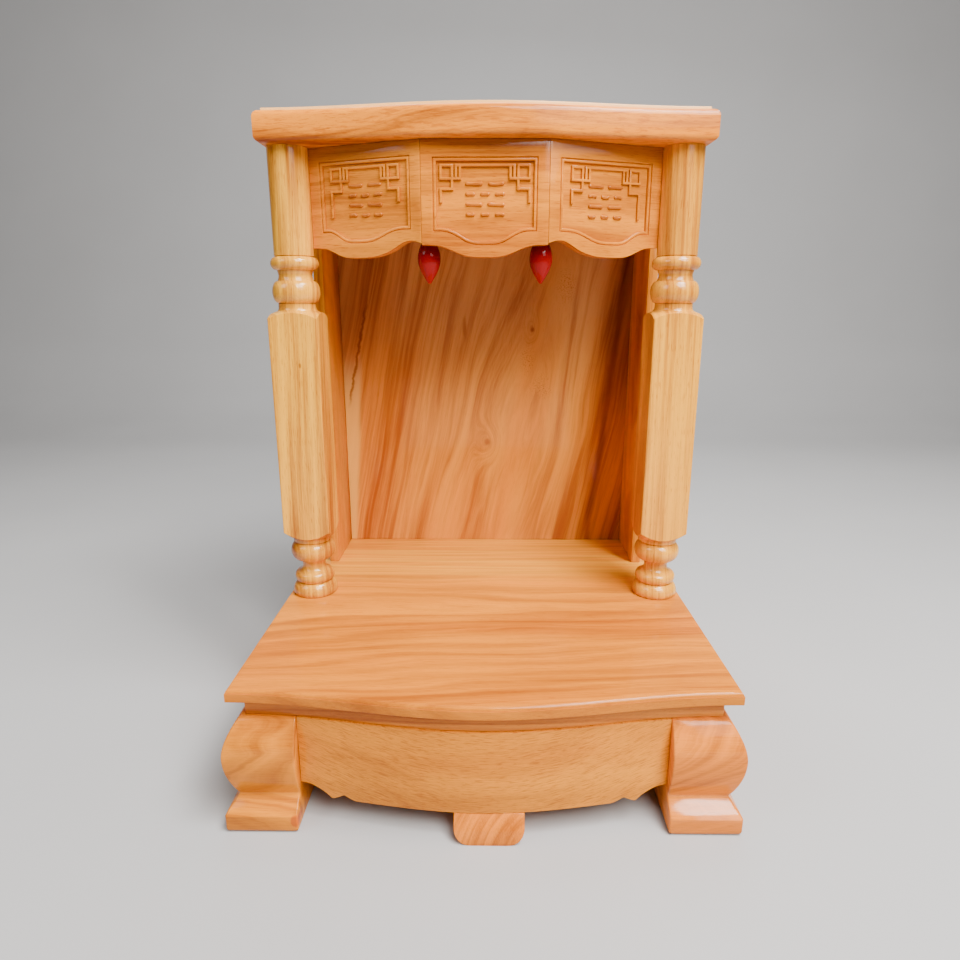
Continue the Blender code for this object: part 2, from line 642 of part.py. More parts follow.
def slab_from_bars(name, bars, depth, group, place):
    """One flat solid that covers every bar: cells of the bars' own lines, thickened."""
    us = sorted({round(b[i], 6) for b in bars for i in (0, 2)})
    vs = sorted({round(b[i], 6) for b in bars for i in (1, 3)})
    bm = bmesh.new()
    corners = {}

    def corner(u, v):
        if (u, v) not in corners:
            corners[(u, v)] = bm.verts.new((u, -v, -depth / 2))
        return corners[(u, v)]

    for u0, u1 in zip(us, us[1:]):
        for v0, v1 in zip(vs, vs[1:]):
            um, vm = (u0 + u1) / 2, (v0 + v1) / 2
            if any(b[0] < um < b[2] and b[1] < vm < b[3] for b in bars):
                bm.faces.new([corner(*p) for p in rect(u0, v0, u1, v1)])
    grown = bmesh.ops.extrude_face_region(bm, geom=bm.faces[:])["geom"]
    moved = [v for v in grown if isinstance(v, bmesh.types.BMVert)]
    bmesh.ops.translate(bm, vec=(0, 0, depth), verts=moved)
    return place_mesh(bm, name, group, place)


def fascia_board(name, hand, group, cutters):
    """One carved board; hand is -1, 0 or 1 for left, middle and right."""
    half = (WING_WIDTH if hand else FASCIA_WIDTH) / 2
    # Board frame: X across, Y up, Z out of the carved face
    place = Matrix.Translation((hand * FASCIA_WIDTH / 2, FRONT + FASCIA_FRONT, TOP_UNDER - JOINT_GAP))
    if hand:
        place = place @ Matrix.Rotation(hand * WING_TURN, 4, "Z") @ Matrix.Translation((hand * half, 0, 0))
    place = place @ Matrix.Rotation(math.pi / 2, 4, "X")
    run = [half * (1 - i / 10) for i in range(21)]
    outline = [(-half, 0), (half, 0)] + [(u, -wavy_edge(u, half, hand)) for u in run]
    board = outline_solid(
        name, outline, FASCIA_THICK, group, place @ Matrix.Translation((0, 0, -FASCIA_THICK / 2)))
    # Mitre at each seam, so that the boards' backs clear each other
    mitre = math.tan(WING_TURN / 2) * FASCIA_THICK
    for vert in board.data.vertices:
        side = math.copysign(1, vert.co.x)
        if abs(abs(vert.co.x) - half) < 0.0001 and side != hand:
            vert.co.x -= side * (JOINT_GAP / 2 + (mitre if vert.co.z < 0 else 0))

    # Groove around the frame, the raised frame inside it, then the sunk field
    groove = field_plate(name + "_groove", hand, 0.0, -GROOVE_DEPTH, GROOVE_DEPTH, cutters, place)
    frame = field_plate(
        name + "_frame", hand, FRAME_GROOVE, -GROOVE_DEPTH - JOINT_GAP, 0.0, cutters, place)
    field = field_plate(name + "_field", hand, FRAME_WIDTH, -FIELD_DEPTH, FIELD_DEPTH, cutters, place)
    boolean(board, as_cutter(groove))
    boolean(board, as_cutter(frame), "UNION")
    boolean(board, as_cutter(field))
    rise = RELIEF_RISE + JOINT_GAP
    carving = slab_from_bars(
        name + "_carving", fret_bars(hand) + stroke_bars(), rise, cutters,
        place @ Matrix.Translation((0, FIELD_RAISE[hand], rise / 2 - FIELD_DEPTH - JOINT_GAP)))
    boolean(board, as_cutter(carving), "UNION")
    return finish(board, WOOD, 0.25, smooth=False)


def fascia(group, cutters):
    fascia_board("fascia_left", -1, group, cutters)
    fascia_board("fascia_center", 0, group, cutters)
    fascia_board("fascia_right", 1, group, cutters)


def panels(group):
    """Side panels from base board to top board, and the back panel between them."""
    low, high = DECK + JOINT_GAP, TOP_UNDER - JOINT_GAP
    for side, name in ((-1, "side_panel_left"), (1, "side_panel_right")):
        xs = sorted((side * SIDE_INNER, side * (SIDE_INNER + PANEL_THICK)))
        finish(boxed(name, (xs[0], PANEL_BACK - SIDE_DEPTH, low), (xs[1], PANEL_BACK, high), group), WOOD)
    inner = SIDE_INNER - JOINT_GAP
    back = boxed("back_panel", (-inner, PANEL_BACK - PANEL_THICK, low), (inner, PANEL_BACK, high), group)
    finish(back, WOOD)


def lamp_profile():
    """Flame-shaped glass, tip down, from the tip up to its neck."""
    tip = -LAMP_TIP
    points = [(0.0, tip)]
    for i in range(11):
        share = i / 10
        belly = math.sin(math.pi / 2 * min(1.0, share / LAMP_BELLY))
        shoulder = max(0.0, share - LAMP_BELLY) / (1 - LAMP_BELLY)
        radius = LAMP_POINT + (LAMP_RADIUS - LAMP_POINT) * belly - (LAMP_RADIUS - LAMP_COLLAR) * shoulder ** 2
        points.append((radius, tip + LAMP_POINT / 2 + (LAMP_LENGTH - LAMP_POINT / 2) * share))
    return points + [(0.0, tip + LAMP_LENGTH)]


def lamps(group):
    """Two flame lamps, tips down, behind the fascia's seams, in simple holders."""
    y = FRONT + FASCIA_FRONT + FASCIA_THICK + LAMP_BEHIND
    cup_low = -LAMP_TIP + LAMP_LENGTH + JOINT_GAP
    cup_high = cup_low + HOLDER_CUP
    holder = [
        (0.0, cup_low), (HOLDER_RADIUS, cup_low), (HOLDER_RADIUS, cup_high - 0.002),
        (HOLDER_RADIUS - 0.002, cup_high), (HOLDER_STEM, cup_high), (HOLDER_STEM, -HOLDER_PLATE),
        (HOLDER_FLANGE, -HOLDER_PLATE), (HOLDER_FLANGE, -JOINT_GAP), (0.0, -JOINT_GAP)]
    for side, hand in ((-1, "left"), (1, "right")):
        place = (side * (FASCIA_WIDTH / 2 - LAMP_INSET), y, TOP_UNDER)
        finish(turned("lamp_" + hand, lamp_profile(), 16, group, place), LAMP_RED, 0.1)
        finish(turned("lamp_holder_" + hand, holder, 16, group, place), HOLDER_IVORY, 0.4)


def build():
    clear_scene()
    group = collection(BODY)
    cutters = collection("cutters")
    base_board(group)
    rails(group)
    feet(group, cutters)
    aprons(group, cutters)
    centre_foot(group, cutters)
    columns(group, cutters)
    panels(group)
    fascia(group, cutters)
    lamps(group)
    top_board(group)
    cutters.hide_render = True


build()
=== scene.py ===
# %% [markdown]
# A household altar cabinet, rebuilt for learners.
#
# The real thing is joiner's work in one honey-coloured hardwood under gloss varnish. A moulded base
# board stands on scrolled feet, two turned columns and a boarded niche carry a top board, and a carved
# fascia of three boards hangs between the columns with two red flame lamps behind it. The imported CAD
# model is loaded first and never moved. Each later step models one kind of piece more finely, right
# where its solid is.

# %% The frame, and the box of each CAD node
import json
import math

import bpy
from mathutils import Matrix, Vector

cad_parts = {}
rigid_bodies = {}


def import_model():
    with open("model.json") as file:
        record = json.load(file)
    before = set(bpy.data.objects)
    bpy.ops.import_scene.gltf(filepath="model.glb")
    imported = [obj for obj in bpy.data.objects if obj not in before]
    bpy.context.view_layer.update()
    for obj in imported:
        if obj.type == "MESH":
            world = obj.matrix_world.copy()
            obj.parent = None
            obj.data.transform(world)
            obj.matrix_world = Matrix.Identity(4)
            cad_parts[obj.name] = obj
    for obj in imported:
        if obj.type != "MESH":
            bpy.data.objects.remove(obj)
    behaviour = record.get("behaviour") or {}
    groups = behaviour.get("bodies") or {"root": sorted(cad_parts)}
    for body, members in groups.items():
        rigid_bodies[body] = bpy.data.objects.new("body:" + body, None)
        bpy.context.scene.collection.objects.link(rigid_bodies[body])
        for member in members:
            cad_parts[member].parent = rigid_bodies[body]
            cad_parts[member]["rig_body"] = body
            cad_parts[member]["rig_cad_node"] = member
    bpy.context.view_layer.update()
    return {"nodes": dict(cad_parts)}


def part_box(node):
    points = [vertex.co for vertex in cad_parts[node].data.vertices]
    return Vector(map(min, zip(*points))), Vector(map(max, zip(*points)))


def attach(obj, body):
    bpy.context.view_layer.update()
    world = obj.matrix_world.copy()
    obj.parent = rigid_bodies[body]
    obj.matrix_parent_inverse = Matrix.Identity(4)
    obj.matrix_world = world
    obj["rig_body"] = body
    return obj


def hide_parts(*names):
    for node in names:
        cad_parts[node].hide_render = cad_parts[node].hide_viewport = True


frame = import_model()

# %% [markdown]
# A few hand moves come up again and again: pick points, edges or faces by where they are, add a block
# at its size, and apply a modifier. They could be typed out each time. Short helpers keep each step
# readable, and they pick by place, because an operator works on all that is selected.

# %% Picking and settling
PICK = 0.0001       # how near a line a point has to lie to be picked
DOUBLES = 0.00001   # points nearer than this are merged


def clear_choice():
    """Leave edit mode and let go of every object, because an operator acts on all that is selected."""
    if bpy.context.object and bpy.context.object.mode != "OBJECT":
        bpy.ops.object.mode_set(mode="OBJECT")
    bpy.ops.object.select_all(action="DESELECT")


def take(piece):
    """Make one piece the only selected and active object."""
    clear_choice()
    piece.select_set(True)
    bpy.context.view_layer.objects.active = piece
    return piece


def choose(piece, test, kind="VERT"):
    """Open a piece in edit mode with the points, edges or faces selected that pass a test."""
    take(piece)
    mesh = piece.data
    for items in (mesh.vertices, mesh.edges, mesh.polygons):
        items.foreach_set("select", [False] * len(items))
    if kind == "VERT":
        for point in mesh.vertices:
            point.select = test(point.co)
    elif kind == "EDGE":
        for edge in mesh.edges:
            ends = [mesh.vertices[i].co for i in edge.vertices]
            edge.select = test(ends[0], ends[1])
    else:
        for face in mesh.polygons:
            face.select = test(face.center, face.normal)
    bpy.context.tool_settings.mesh_select_mode = (kind == "VERT", kind == "EDGE", kind == "FACE")
    bpy.ops.object.mode_set(mode="EDIT")


def done(piece):
    """Close edit mode and hand the piece on."""
    bpy.ops.object.mode_set(mode="OBJECT")
    return piece


def settle(piece):
    """Put a piece's place, turn and size into its mesh, so that its object sits at the origin."""
    take(piece)
    bpy.ops.object.transform_apply(location=True, rotation=True, scale=True)
    return piece


def face_outwards(piece):
    """Merge doubled points and turn every face outwards."""
    choose(piece, lambda point: True)
    bpy.ops.mesh.remove_doubles(threshold=DOUBLES)
    bpy.ops.mesh.normals_make_consistent(inside=False)
    return done(piece)


print("picking by place is ready")

# %% [markdown]
# Three kinds of blank start nearly every piece: a block, an outline that is traced and drawn out, as a
# saw cuts it, and a circle that is drawn up ring by ring, as a lathe turns it.

# %% Blocks, traced solids and turned solids
STRAIGHT = 0.00001   # a point this near to the line between its neighbours adds nothing
CLEAR = 0.01         # how far a cutting solid reaches past what it cuts
SEED = 0.001         # size of the plane that is merged to an outline's first point


def block(name, low, high):
    """A cube primitive at its real size and place."""
    clear_choice()
    low, high = Vector(low), Vector(high)
    bpy.ops.mesh.primitive_cube_add(size=1, location=(low + high) / 2, scale=high - low)
    made = bpy.context.object
    made.name = name
    return settle(made)


def bends(points):
    """The outline without the points that lie on a straight run: slivers there would spoil a Boolean."""
    kept = []
    for i, here in enumerate(points):
        start = kept[-1] if kept else points[-1]
        run = points[(i + 1) % len(points)] - start
        if (here - start).cross(run).length > STRAIGHT * run.length:
            kept.append(here)
    return kept


def traced(name, points, draw):
    """Trace an outline point by point with extrude, fill it, and draw it out to a solid."""
    clear_choice()
    points = bends([Vector(p) for p in points])
    bpy.ops.mesh.primitive_plane_add(size=SEED, location=points[0])
    made = bpy.context.object
    made.name = name
    choose(made, lambda point: True)
    bpy.ops.mesh.merge(type="CENTER")
    for here, there in zip(points, points[1:]):
        bpy.ops.mesh.extrude_region_move(TRANSFORM_OT_translate={"value": there - here})
    bpy.ops.mesh.select_all(action="SELECT")
    bpy.ops.mesh.edge_face_add()
    bpy.ops.mesh.select_all(action="SELECT")
    bpy.ops.mesh.extrude_region_move(TRANSFORM_OT_translate={"value": Vector(draw)})
    done(made)
    return face_outwards(settle(made))


def stacked(name, rings, axis, sides):
    """Turn a round piece: a filled circle is drawn up ring by ring and scaled to each radius."""
    clear_choice()
    axis = Vector(axis)
    radius, height = rings[0]
    bpy.ops.mesh.primitive_circle_add(
        vertices=sides, radius=radius, fill_type="NGON", location=axis + Vector((0, 0, height)))
    made = bpy.context.object
    made.name = name
    choose(made, lambda centre, normal: True, "FACE")
    for wide, high in rings[1:]:
        bpy.ops.mesh.extrude_region_move(TRANSFORM_OT_translate={"value": (0, 0, high - height)})
        share = wide / radius
        bpy.ops.transform.resize(value=(share, share, 1), center_override=axis + Vector((0, 0, high)))
        radius, height = wide, high
    done(made)
    return face_outwards(settle(made))


print("blanks are ready")

# %% [markdown]
# Modifiers do what would be slow by hand: cut one solid with another, and take off sharp edges. A
# finished piece then stands for its CAD node and rides on the cabinet's one body.

# %% Modifiers, and handing a piece over
def apply_step(piece, kind, **settings):
    """Add one modifier, give it its settings and apply it."""
    take(piece)
    step = piece.modifiers.new(kind.lower(), kind)
    for key, value in settings.items():
        setattr(step, key, value)
    bpy.ops.object.modifier_apply(modifier=step.name)
    return piece


def carve(piece, other, operation="DIFFERENCE"):
    """Cut, join or keep the overlap of two solids, and put the helper away."""
    apply_step(piece, "BOOLEAN", operation=operation, object=other, solver="EXACT")
    bpy.data.objects.remove(other, do_unlink=True)
    return piece


def ease(piece, width, segments=3, angle=40):
    """Take the sharpness off every edge that turns more than an angle, as sanding does."""
    return apply_step(
        piece, "BEVEL", width=width, segments=segments, limit_method="ANGLE",
        angle_limit=math.radians(angle), use_clamp_overlap=True, miter_outer="MITER_ARC")


def smooth(piece, angle=34):
    """Soft shading across small angles."""
    take(piece)
    bpy.ops.object.shade_smooth_by_angle(angle=math.radians(angle))
    return piece


def stand_in(piece, node):
    """Let a finished piece stand for its CAD node and move with the cabinet."""
    piece.name = node + "_detail"
    piece.data.name = piece.name
    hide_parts(node)
    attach(piece, "root")
    print(piece.name, len(piece.data.vertices), "points")
    return piece


print("modifiers and hand-over are ready")

# %% [markdown]
# The boards of a cabinet are never knife-sharp: the maker runs sandpaper along every arris before
# varnish. Flat boards could be drawn again from blocks. A merged copy of the CAD node already has the
# right size and place, so a small bevel on its edges is all that it needs.

# %% Flat boards with sanded edges
SANDED = 0.0007
LEVEL_ANGLE = math.radians(0.5)


def sanded_copy(node, width=SANDED):
    """A merged copy of a CAD node with its edges eased."""
    piece = frame["nodes"][node].copy()
    piece.data = piece.data.copy()
    piece.parent = None
    bpy.context.scene.collection.objects.link(piece)
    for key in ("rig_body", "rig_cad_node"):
        del piece[key]
    choose(piece, lambda point: True)
    bpy.ops.mesh.remove_doubles(threshold=DOUBLES)
    bpy.ops.mesh.dissolve_limited(angle_limit=LEVEL_ANGLE)
    bpy.ops.mesh.normals_make_consistent(inside=False)
    done(piece)
    return stand_in(smooth(ease(piece, width)), node)


FLAT_BOARDS = {
    "back_panel": "panel_wood", "side_panel_left": "panel_wood", "side_panel_right": "panel_wood",
    "rail_left": "varnished_wood", "rail_right": "varnished_wood", "rail_back": "varnished_wood",
    "apron_left": "varnished_wood", "apron_right": "varnished_wood", "apron_back": "varnished_wood"}
boards = {node: sanded_copy(node) for node, slot in FLAT_BOARDS.items()}

# The back board is glued tight between the sides, so it reaches across the narrow gap that the solids keep
TIGHT = 0.00028
back_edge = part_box("back_panel")[1].x
for side in (-1, 1):
    choose(boards["back_panel"], lambda point: point.x * side > back_edge - PICK)
    bpy.ops.transform.translate(value=(side * TIGHT, 0, 0))
    done(boards["back_panel"])
print("back board glued in")

# %% [markdown]
# The base board and the top board have a front that swells forward in one soft bow, and a moulded edge.
# On the real boards a router cuts the moulding. Here the bowed outline is traced, drawn up to a slab,
# and the rounds are made by insetting the top or bottom face in small steps, which follows the bow all
# the way.

# %% Bowed outlines and moulded edges
BOW_STEPS = 48
SPARE = 0.02     # what is sawn off again at the back
FACING = 0.9     # a face counts as turned one way if its normal points there by this much
FLUSH = 0.00002  # and as part of a board's outer face if it is this near to it


def bow(x, half):
    """One at the middle of a bowed front, falling softly to nothing at its ends."""
    return 0.5 * (1 + math.cos(math.pi * min(1.0, abs(x) / half)))


def bowed_outline(half, corner, back, swell, height, span):
    """The outline of a board whose front edge swells forward."""
    xs = [half * (2 * i / BOW_STEPS - 1) for i in range(BOW_STEPS + 1)]
    front = [(x, corner - swell * bow(x, span), height) for x in xs]
    return front + [(half, back, height), (-half, back, height)]


def rounding(radius, steps=7):
    """Inset steps of a quarter round, each as (inwards, outwards)."""
    turns = [math.pi / 2 * i / steps for i in range(steps + 1)]
    return [
        (radius * (math.cos(a) - math.cos(b)), radius * (math.sin(b) - math.sin(a)))
        for a, b in zip(turns, turns[1:])]


def mould(piece, steps, up):
    """Step a board's upper or lower face inwards, and trim nothing else."""
    edge = max(v.co.z * up for v in piece.data.vertices)
    choose(piece, lambda centre, normal: normal.z * up > FACING and centre.z * up > edge - FLUSH, "FACE")
    for inwards, outwards in steps:
        if inwards:
            bpy.ops.mesh.inset(thickness=inwards, depth=outwards, use_boundary=True, use_even_offset=True)
        else:
            bpy.ops.mesh.extrude_region_move(TRANSFORM_OT_translate={"value": (0, 0, outwards * up)})
    return done(piece)


def saw_back(piece, y):
    """Saw a board off square at its back and close the cut."""
    choose(piece, lambda point: True)
    bpy.ops.mesh.bisect(plane_co=(0, y, 0), plane_no=(0, 1, 0), use_fill=True, clear_outer=True)
    return done(piece)


print("moulding tools are ready")

# %% The base board
base_low, base_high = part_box("base_board")
BASE_HALF = base_high.x
BASE_SWELL = 0.026
BASE_CORNER = base_low.y + BASE_SWELL
BASE_ROUND = 0.0040
BASE_STEP = 0.0006
BASE_UNDER_ROUND = 0.0008
base_flat = base_high.z - base_low.z - BASE_ROUND
base = traced(
    "base_board_detail",
    bowed_outline(BASE_HALF, BASE_CORNER, base_high.y + SPARE, BASE_SWELL, base_low.z, BASE_HALF),
    (0, 0, base_flat))
mould(base, [(BASE_STEP, 0.0)] + rounding(BASE_ROUND), 1)
mould(base, rounding(BASE_UNDER_ROUND, 3), -1)
saw_back(base, base_high.y)
boards["base_board"] = stand_in(smooth(base), "base_board")

# %% The top board
top_low, top_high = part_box("top_board")
TOP_HALF = top_high.x
TOP_SWELL = 0.025
TOP_CORNER = top_low.y + TOP_SWELL
TOP_ROUND = 0.0075
TOP_FILLET = 0.0025
TOP_UNDER_ROUND = 0.0050
face_low = top_low.z + TOP_UNDER_ROUND
face_high = top_high.z - TOP_ROUND - TOP_FILLET
top = traced(
    "top_board_detail",
    bowed_outline(TOP_HALF, TOP_CORNER, top_high.y + SPARE, TOP_SWELL, face_low, TOP_HALF),
    (0, 0, face_high - face_low))
mould(top, rounding(TOP_ROUND) + [(0, TOP_FILLET - SANDED)] + rounding(SANDED, 3), 1)
mould(top, rounding(TOP_UNDER_ROUND), -1)
saw_back(top, top_high.y)
boards["top_board"] = stand_in(smooth(top), "top_board")

# %% [markdown]
# Under the base board runs a plain band, the rail, and below it the apron, both bowed like the board. A
# bandsaw cuts the apron's lower edge in small scallops. The apron is traced from above and drawn up,
# and a traced scallop shape is cut out of it, so the scallops run straight through as a saw leaves
# them.

# %% Front rail
rail_low, rail_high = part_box("rail_front")
RAIL_HALF = rail_high.x
RAIL_FACE = rail_low.y + BASE_SWELL
rail = traced(
    "rail_front_detail",
    bowed_outline(RAIL_HALF, RAIL_FACE, rail_high.y, BASE_SWELL, rail_low.z, RAIL_HALF),
    (0, 0, rail_high.z - rail_low.z))
boards["rail_front"] = stand_in(smooth(ease(rail, SANDED)), "rail_front")

# %% The scallops of the apron's lower edge
apron_low, apron_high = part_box("apron_front")
APRON_HALF = apron_high.x
APRON_FACE = apron_low.y + BASE_SWELL
APRON_THICK = 0.020
EAR_RISE = 0.0155
EAR_RUN = 0.030
CUSP_RISE = 0.0055
CUSP_RUN = 0.025
EAR_POWER = 0.8
CUSP_POWER = 1.4
SCALLOP_STEPS = 28


def scallop(x):
    """How far the apron's lower edge rises above its lowest line at a place across it."""
    from_foot = APRON_HALF - abs(x)
    if from_foot < EAR_RUN:
        return EAR_RISE * math.cos(math.pi / 2 * max(0.0, from_foot) / EAR_RUN) ** EAR_POWER
    past = (from_foot - EAR_RUN) / CUSP_RUN
    return CUSP_RISE * (1 - abs(2 * past - 1)) ** CUSP_POWER if past < 1 else 0.0


print("the apron rises", round(1000 * scallop(APRON_HALF), 1), "mm at the feet")

# %% Scalloped apron
xs = [APRON_HALF * (2 * i / BOW_STEPS - 1) for i in range(BOW_STEPS + 1)]
face = [(x, APRON_FACE - BASE_SWELL * bow(x, RAIL_HALF)) for x in xs]
behind = [(x, y + APRON_THICK) for x, y in reversed(face)]
apron = traced(
    "apron_front_detail", [(x, y, apron_low.z - CLEAR) for x, y in face + behind],
    (0, 0, apron_high.z - apron_low.z + CLEAR))
reach = EAR_RUN + CUSP_RUN
places = [APRON_HALF - reach * i / SCALLOP_STEPS for i in range(SCALLOP_STEPS + 1)]
edge = [(-APRON_HALF - CLEAR, EAR_RISE)] + [(-x, scallop(x)) for x in places]
edge += [(x, scallop(x)) for x in reversed(places)] + [(APRON_HALF + CLEAR, EAR_RISE)]
edge += [(APRON_HALF + CLEAR, -3 * CLEAR), (-APRON_HALF - CLEAR, -3 * CLEAR)]
saw = traced(
    "scallop_saw", [(x, apron_low.y - 2 * CLEAR, apron_low.z + z) for x, z in edge],
    (0, apron_high.y - apron_low.y + 4 * CLEAR, 0))
carve(apron, saw)
boards["apron_front"] = stand_in(smooth(ease(apron, SANDED)), "apron_front")

# %% [markdown]
# The feet are scrolled blocks: a wide belly, a waist and a spreading toe. The maker saws the same curve
# on two faces of a block, and the curves meet in a mitre at the corner. The same is done here: the
# curve is traced on the front and on the side, and only what both solids share is kept.

# %% The scroll's curve
foot_low, foot_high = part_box("foot_front_right")
FOOT_TOP = foot_high.z
FOOT_IN = foot_low.x
TOP_OUT = 0.0046
BELLY_OUT = 0.0200
BELLY_HEIGHT = 0.077
WAIST_OUT = 0.0093
WAIST_HEIGHT = 0.034
TOE_SIDE = foot_high.x - RAIL_HALF
TOE_FRONT = 0.0238
TOE_HEIGHT = 0.0180
TOE_EASE = 0.0045
JOINT_GAP = 0.0003     # the solids keep this gap where boards are glued
BELLY_POWER = 0.9
WAIST_POWER = 0.85
TOE_SWAY = 0.25
TOE_STEPS = 7
WAIST_STEPS = 18
WAIST_CROWD = 1.5
BELLY_STEPS = 12
FOOT_SPARE = 0.004
FOOT_ROUND = 0.0018
FOOT_CREASE = 38


def scroll(height, toe):
    """How far the scroll stands out beyond the rail at a height."""
    if height >= BELLY_HEIGHT:
        share = (height - BELLY_HEIGHT) / (FOOT_TOP + JOINT_GAP - BELLY_HEIGHT)
        return TOP_OUT + (BELLY_OUT - TOP_OUT) * math.cos(math.pi / 2 * min(1, share)) ** BELLY_POWER
    if height >= WAIST_HEIGHT:
        share = (height - WAIST_HEIGHT) / (BELLY_HEIGHT - WAIST_HEIGHT)
        return WAIST_OUT + (BELLY_OUT - WAIST_OUT) * math.sin(math.pi / 2 * share) ** WAIST_POWER
    share = (height - TOE_HEIGHT) / (WAIST_HEIGHT - TOE_HEIGHT)
    share -= TOE_SWAY * math.sin(2 * math.pi * share) / (2 * math.pi)
    return toe + (WAIST_OUT - toe) * share


def scroll_line(toe, inner):
    """The foot's outline, as (distance beyond the rail, height), from its inner bottom corner round."""
    turns = [math.pi / 2 * i / 4 for i in range(5)]
    line = [(inner + TOE_EASE * (1 - math.sin(a)), TOE_EASE * (1 - math.cos(a))) for a in turns[:0:-1]]
    line += [(toe - TOE_EASE * (1 - math.sin(a)), TOE_EASE * (1 - math.cos(a))) for a in turns]
    heights = [TOE_HEIGHT + (WAIST_HEIGHT - TOE_HEIGHT) * i / TOE_STEPS for i in range(TOE_STEPS)]
    # The waist is a crease that gets rounded, so no step lies close above it
    shares = [(i / WAIST_STEPS) ** WAIST_CROWD for i in (0, *range(3, WAIST_STEPS))]
    heights += [WAIST_HEIGHT + (BELLY_HEIGHT - WAIST_HEIGHT) * share for share in shares]
    heights += [BELLY_HEIGHT + (FOOT_TOP - BELLY_HEIGHT) * i / BELLY_STEPS for i in range(BELLY_STEPS)]
    line += [(scroll(z, toe), z) for z in heights]
    return line + [(TOP_OUT, FOOT_TOP), (inner, FOOT_TOP)]


print("the belly stands out", round(1000 * scroll(BELLY_HEIGHT, TOE_FRONT), 1), "mm")

# %% Scrolled feet
def foot(node, side, end):
    """One foot, at the left or right and at the front or back."""
    low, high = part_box(node)
    face_y = low.y + TOE_FRONT if end < 0 else high.y - TOE_FRONT
    inner = FOOT_IN - RAIL_HALF
    start_y = low.y - FOOT_SPARE
    front_on = [(side * (RAIL_HALF + out), start_y, z) for out, z in scroll_line(TOE_SIDE, inner)]
    piece = traced(node + "_detail", front_on, (0, high.y - low.y + 2 * FOOT_SPARE, 0))
    side_on = [(low.x - CLEAR, face_y + end * out, z) for out, z in scroll_line(TOE_FRONT, inner)]
    shape = traced(node + "_side", side_on, (high.x - low.x + 2 * CLEAR, 0, 0))
    carve(piece, shape, "INTERSECT")
    return stand_in(smooth(ease(piece, FOOT_ROUND, 3, FOOT_CREASE)), node)


feet = {
    "foot_front_left": foot("foot_front_left", -1, -1), "foot_front_right": foot("foot_front_right", 1, -1),
    "foot_back_left": foot("foot_back_left", -1, 1), "foot_back_right": foot("foot_back_right", 1, 1)}

# %% [markdown]
# A tongue under the apron's middle keeps the long front from sagging. Its face runs forward to the
# floor and its lower corners are rounded off. It is traced from the side, and a traced front shape
# trims its corners.

# %% Centre foot
tongue_low, tongue_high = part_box("centre_foot")
TONGUE_CORNER = 0.016
TONGUE_STEPS = 12
TONGUE_POWER = 1.6
TONGUE_LAP = 0.001
TONGUE_ROUND = 0.0009
CORNER_STEPS = 9
tongue_front = tongue_low.y
tongue_face = APRON_FACE - BASE_SWELL + TONGUE_LAP
ahead = tongue_face - tongue_front
line = []
for i in range(TONGUE_STEPS + 1):
    share = i / TONGUE_STEPS
    line.append((tongue_face - ahead * (1 - (1 - share) ** TONGUE_POWER), tongue_high.z * (1 - share)))
line += [(tongue_high.y, 0.0), (tongue_high.y, tongue_high.z)]
tongue = traced(
    "centre_foot_detail", [(tongue_low.x, y, z) for y, z in line], (tongue_high.x - tongue_low.x, 0, 0))
turns = [math.pi / 2 * i / CORNER_STEPS for i in range(CORNER_STEPS + 1)]
corner = [(TONGUE_CORNER * (1 - math.cos(a)), TONGUE_CORNER * (1 - math.sin(a))) for a in turns]
trim = [(tongue_low.x + x, z) for x, z in corner] + [(tongue_high.x - x, z) for x, z in reversed(corner)]
trim += [(tongue_high.x, tongue_high.z + CLEAR), (tongue_low.x, tongue_high.z + CLEAR)]
keep = traced("tongue_shape", [(x, tongue_low.y - CLEAR, z) for x, z in trim], (0, 8 * CLEAR, 0))
carve(tongue, keep, "INTERSECT")
feet["centre_foot"] = stand_in(smooth(ease(tongue, TONGUE_ROUND)), "centre_foot")

# %% [markdown]
# Each column starts as a square post. The lathe turns its ends into beads, coves and a plain shaft, and
# leaves the middle square. So the turned piece is stacked ring by ring to more than the post's corners,
# and what it shares with the square post is kept: the arched shoulders come out by themselves.

# %% The column's mouldings
column_low, column_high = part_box("column_left")
POST = (column_high.x - column_low.x) / 2
POST_CORNER = POST * math.sqrt(2) + 0.0006
POST_ROUND = 0.0012
SHAFT = 0.0217
SHAFT_LOW = 0.3968
TURN_SIDES = 72


def bead(low, high, neck, wide, steps=12):
    """Half-round moulding between two heights."""
    turns = [math.pi * i / steps for i in range(steps + 1)]
    middle, half = (low + high) / 2, (high - low) / 2
    return [(neck + (wide - neck) * math.sin(a), middle - half * math.cos(a)) for a in turns]


def cove(low, high, ends, waist, steps=8):
    """Hollow between two mouldings, without its ends."""
    return [
        (ends - (ends - waist) * math.sin(math.pi * i / steps), low + (high - low) * i / steps)
        for i in range(1, steps)]


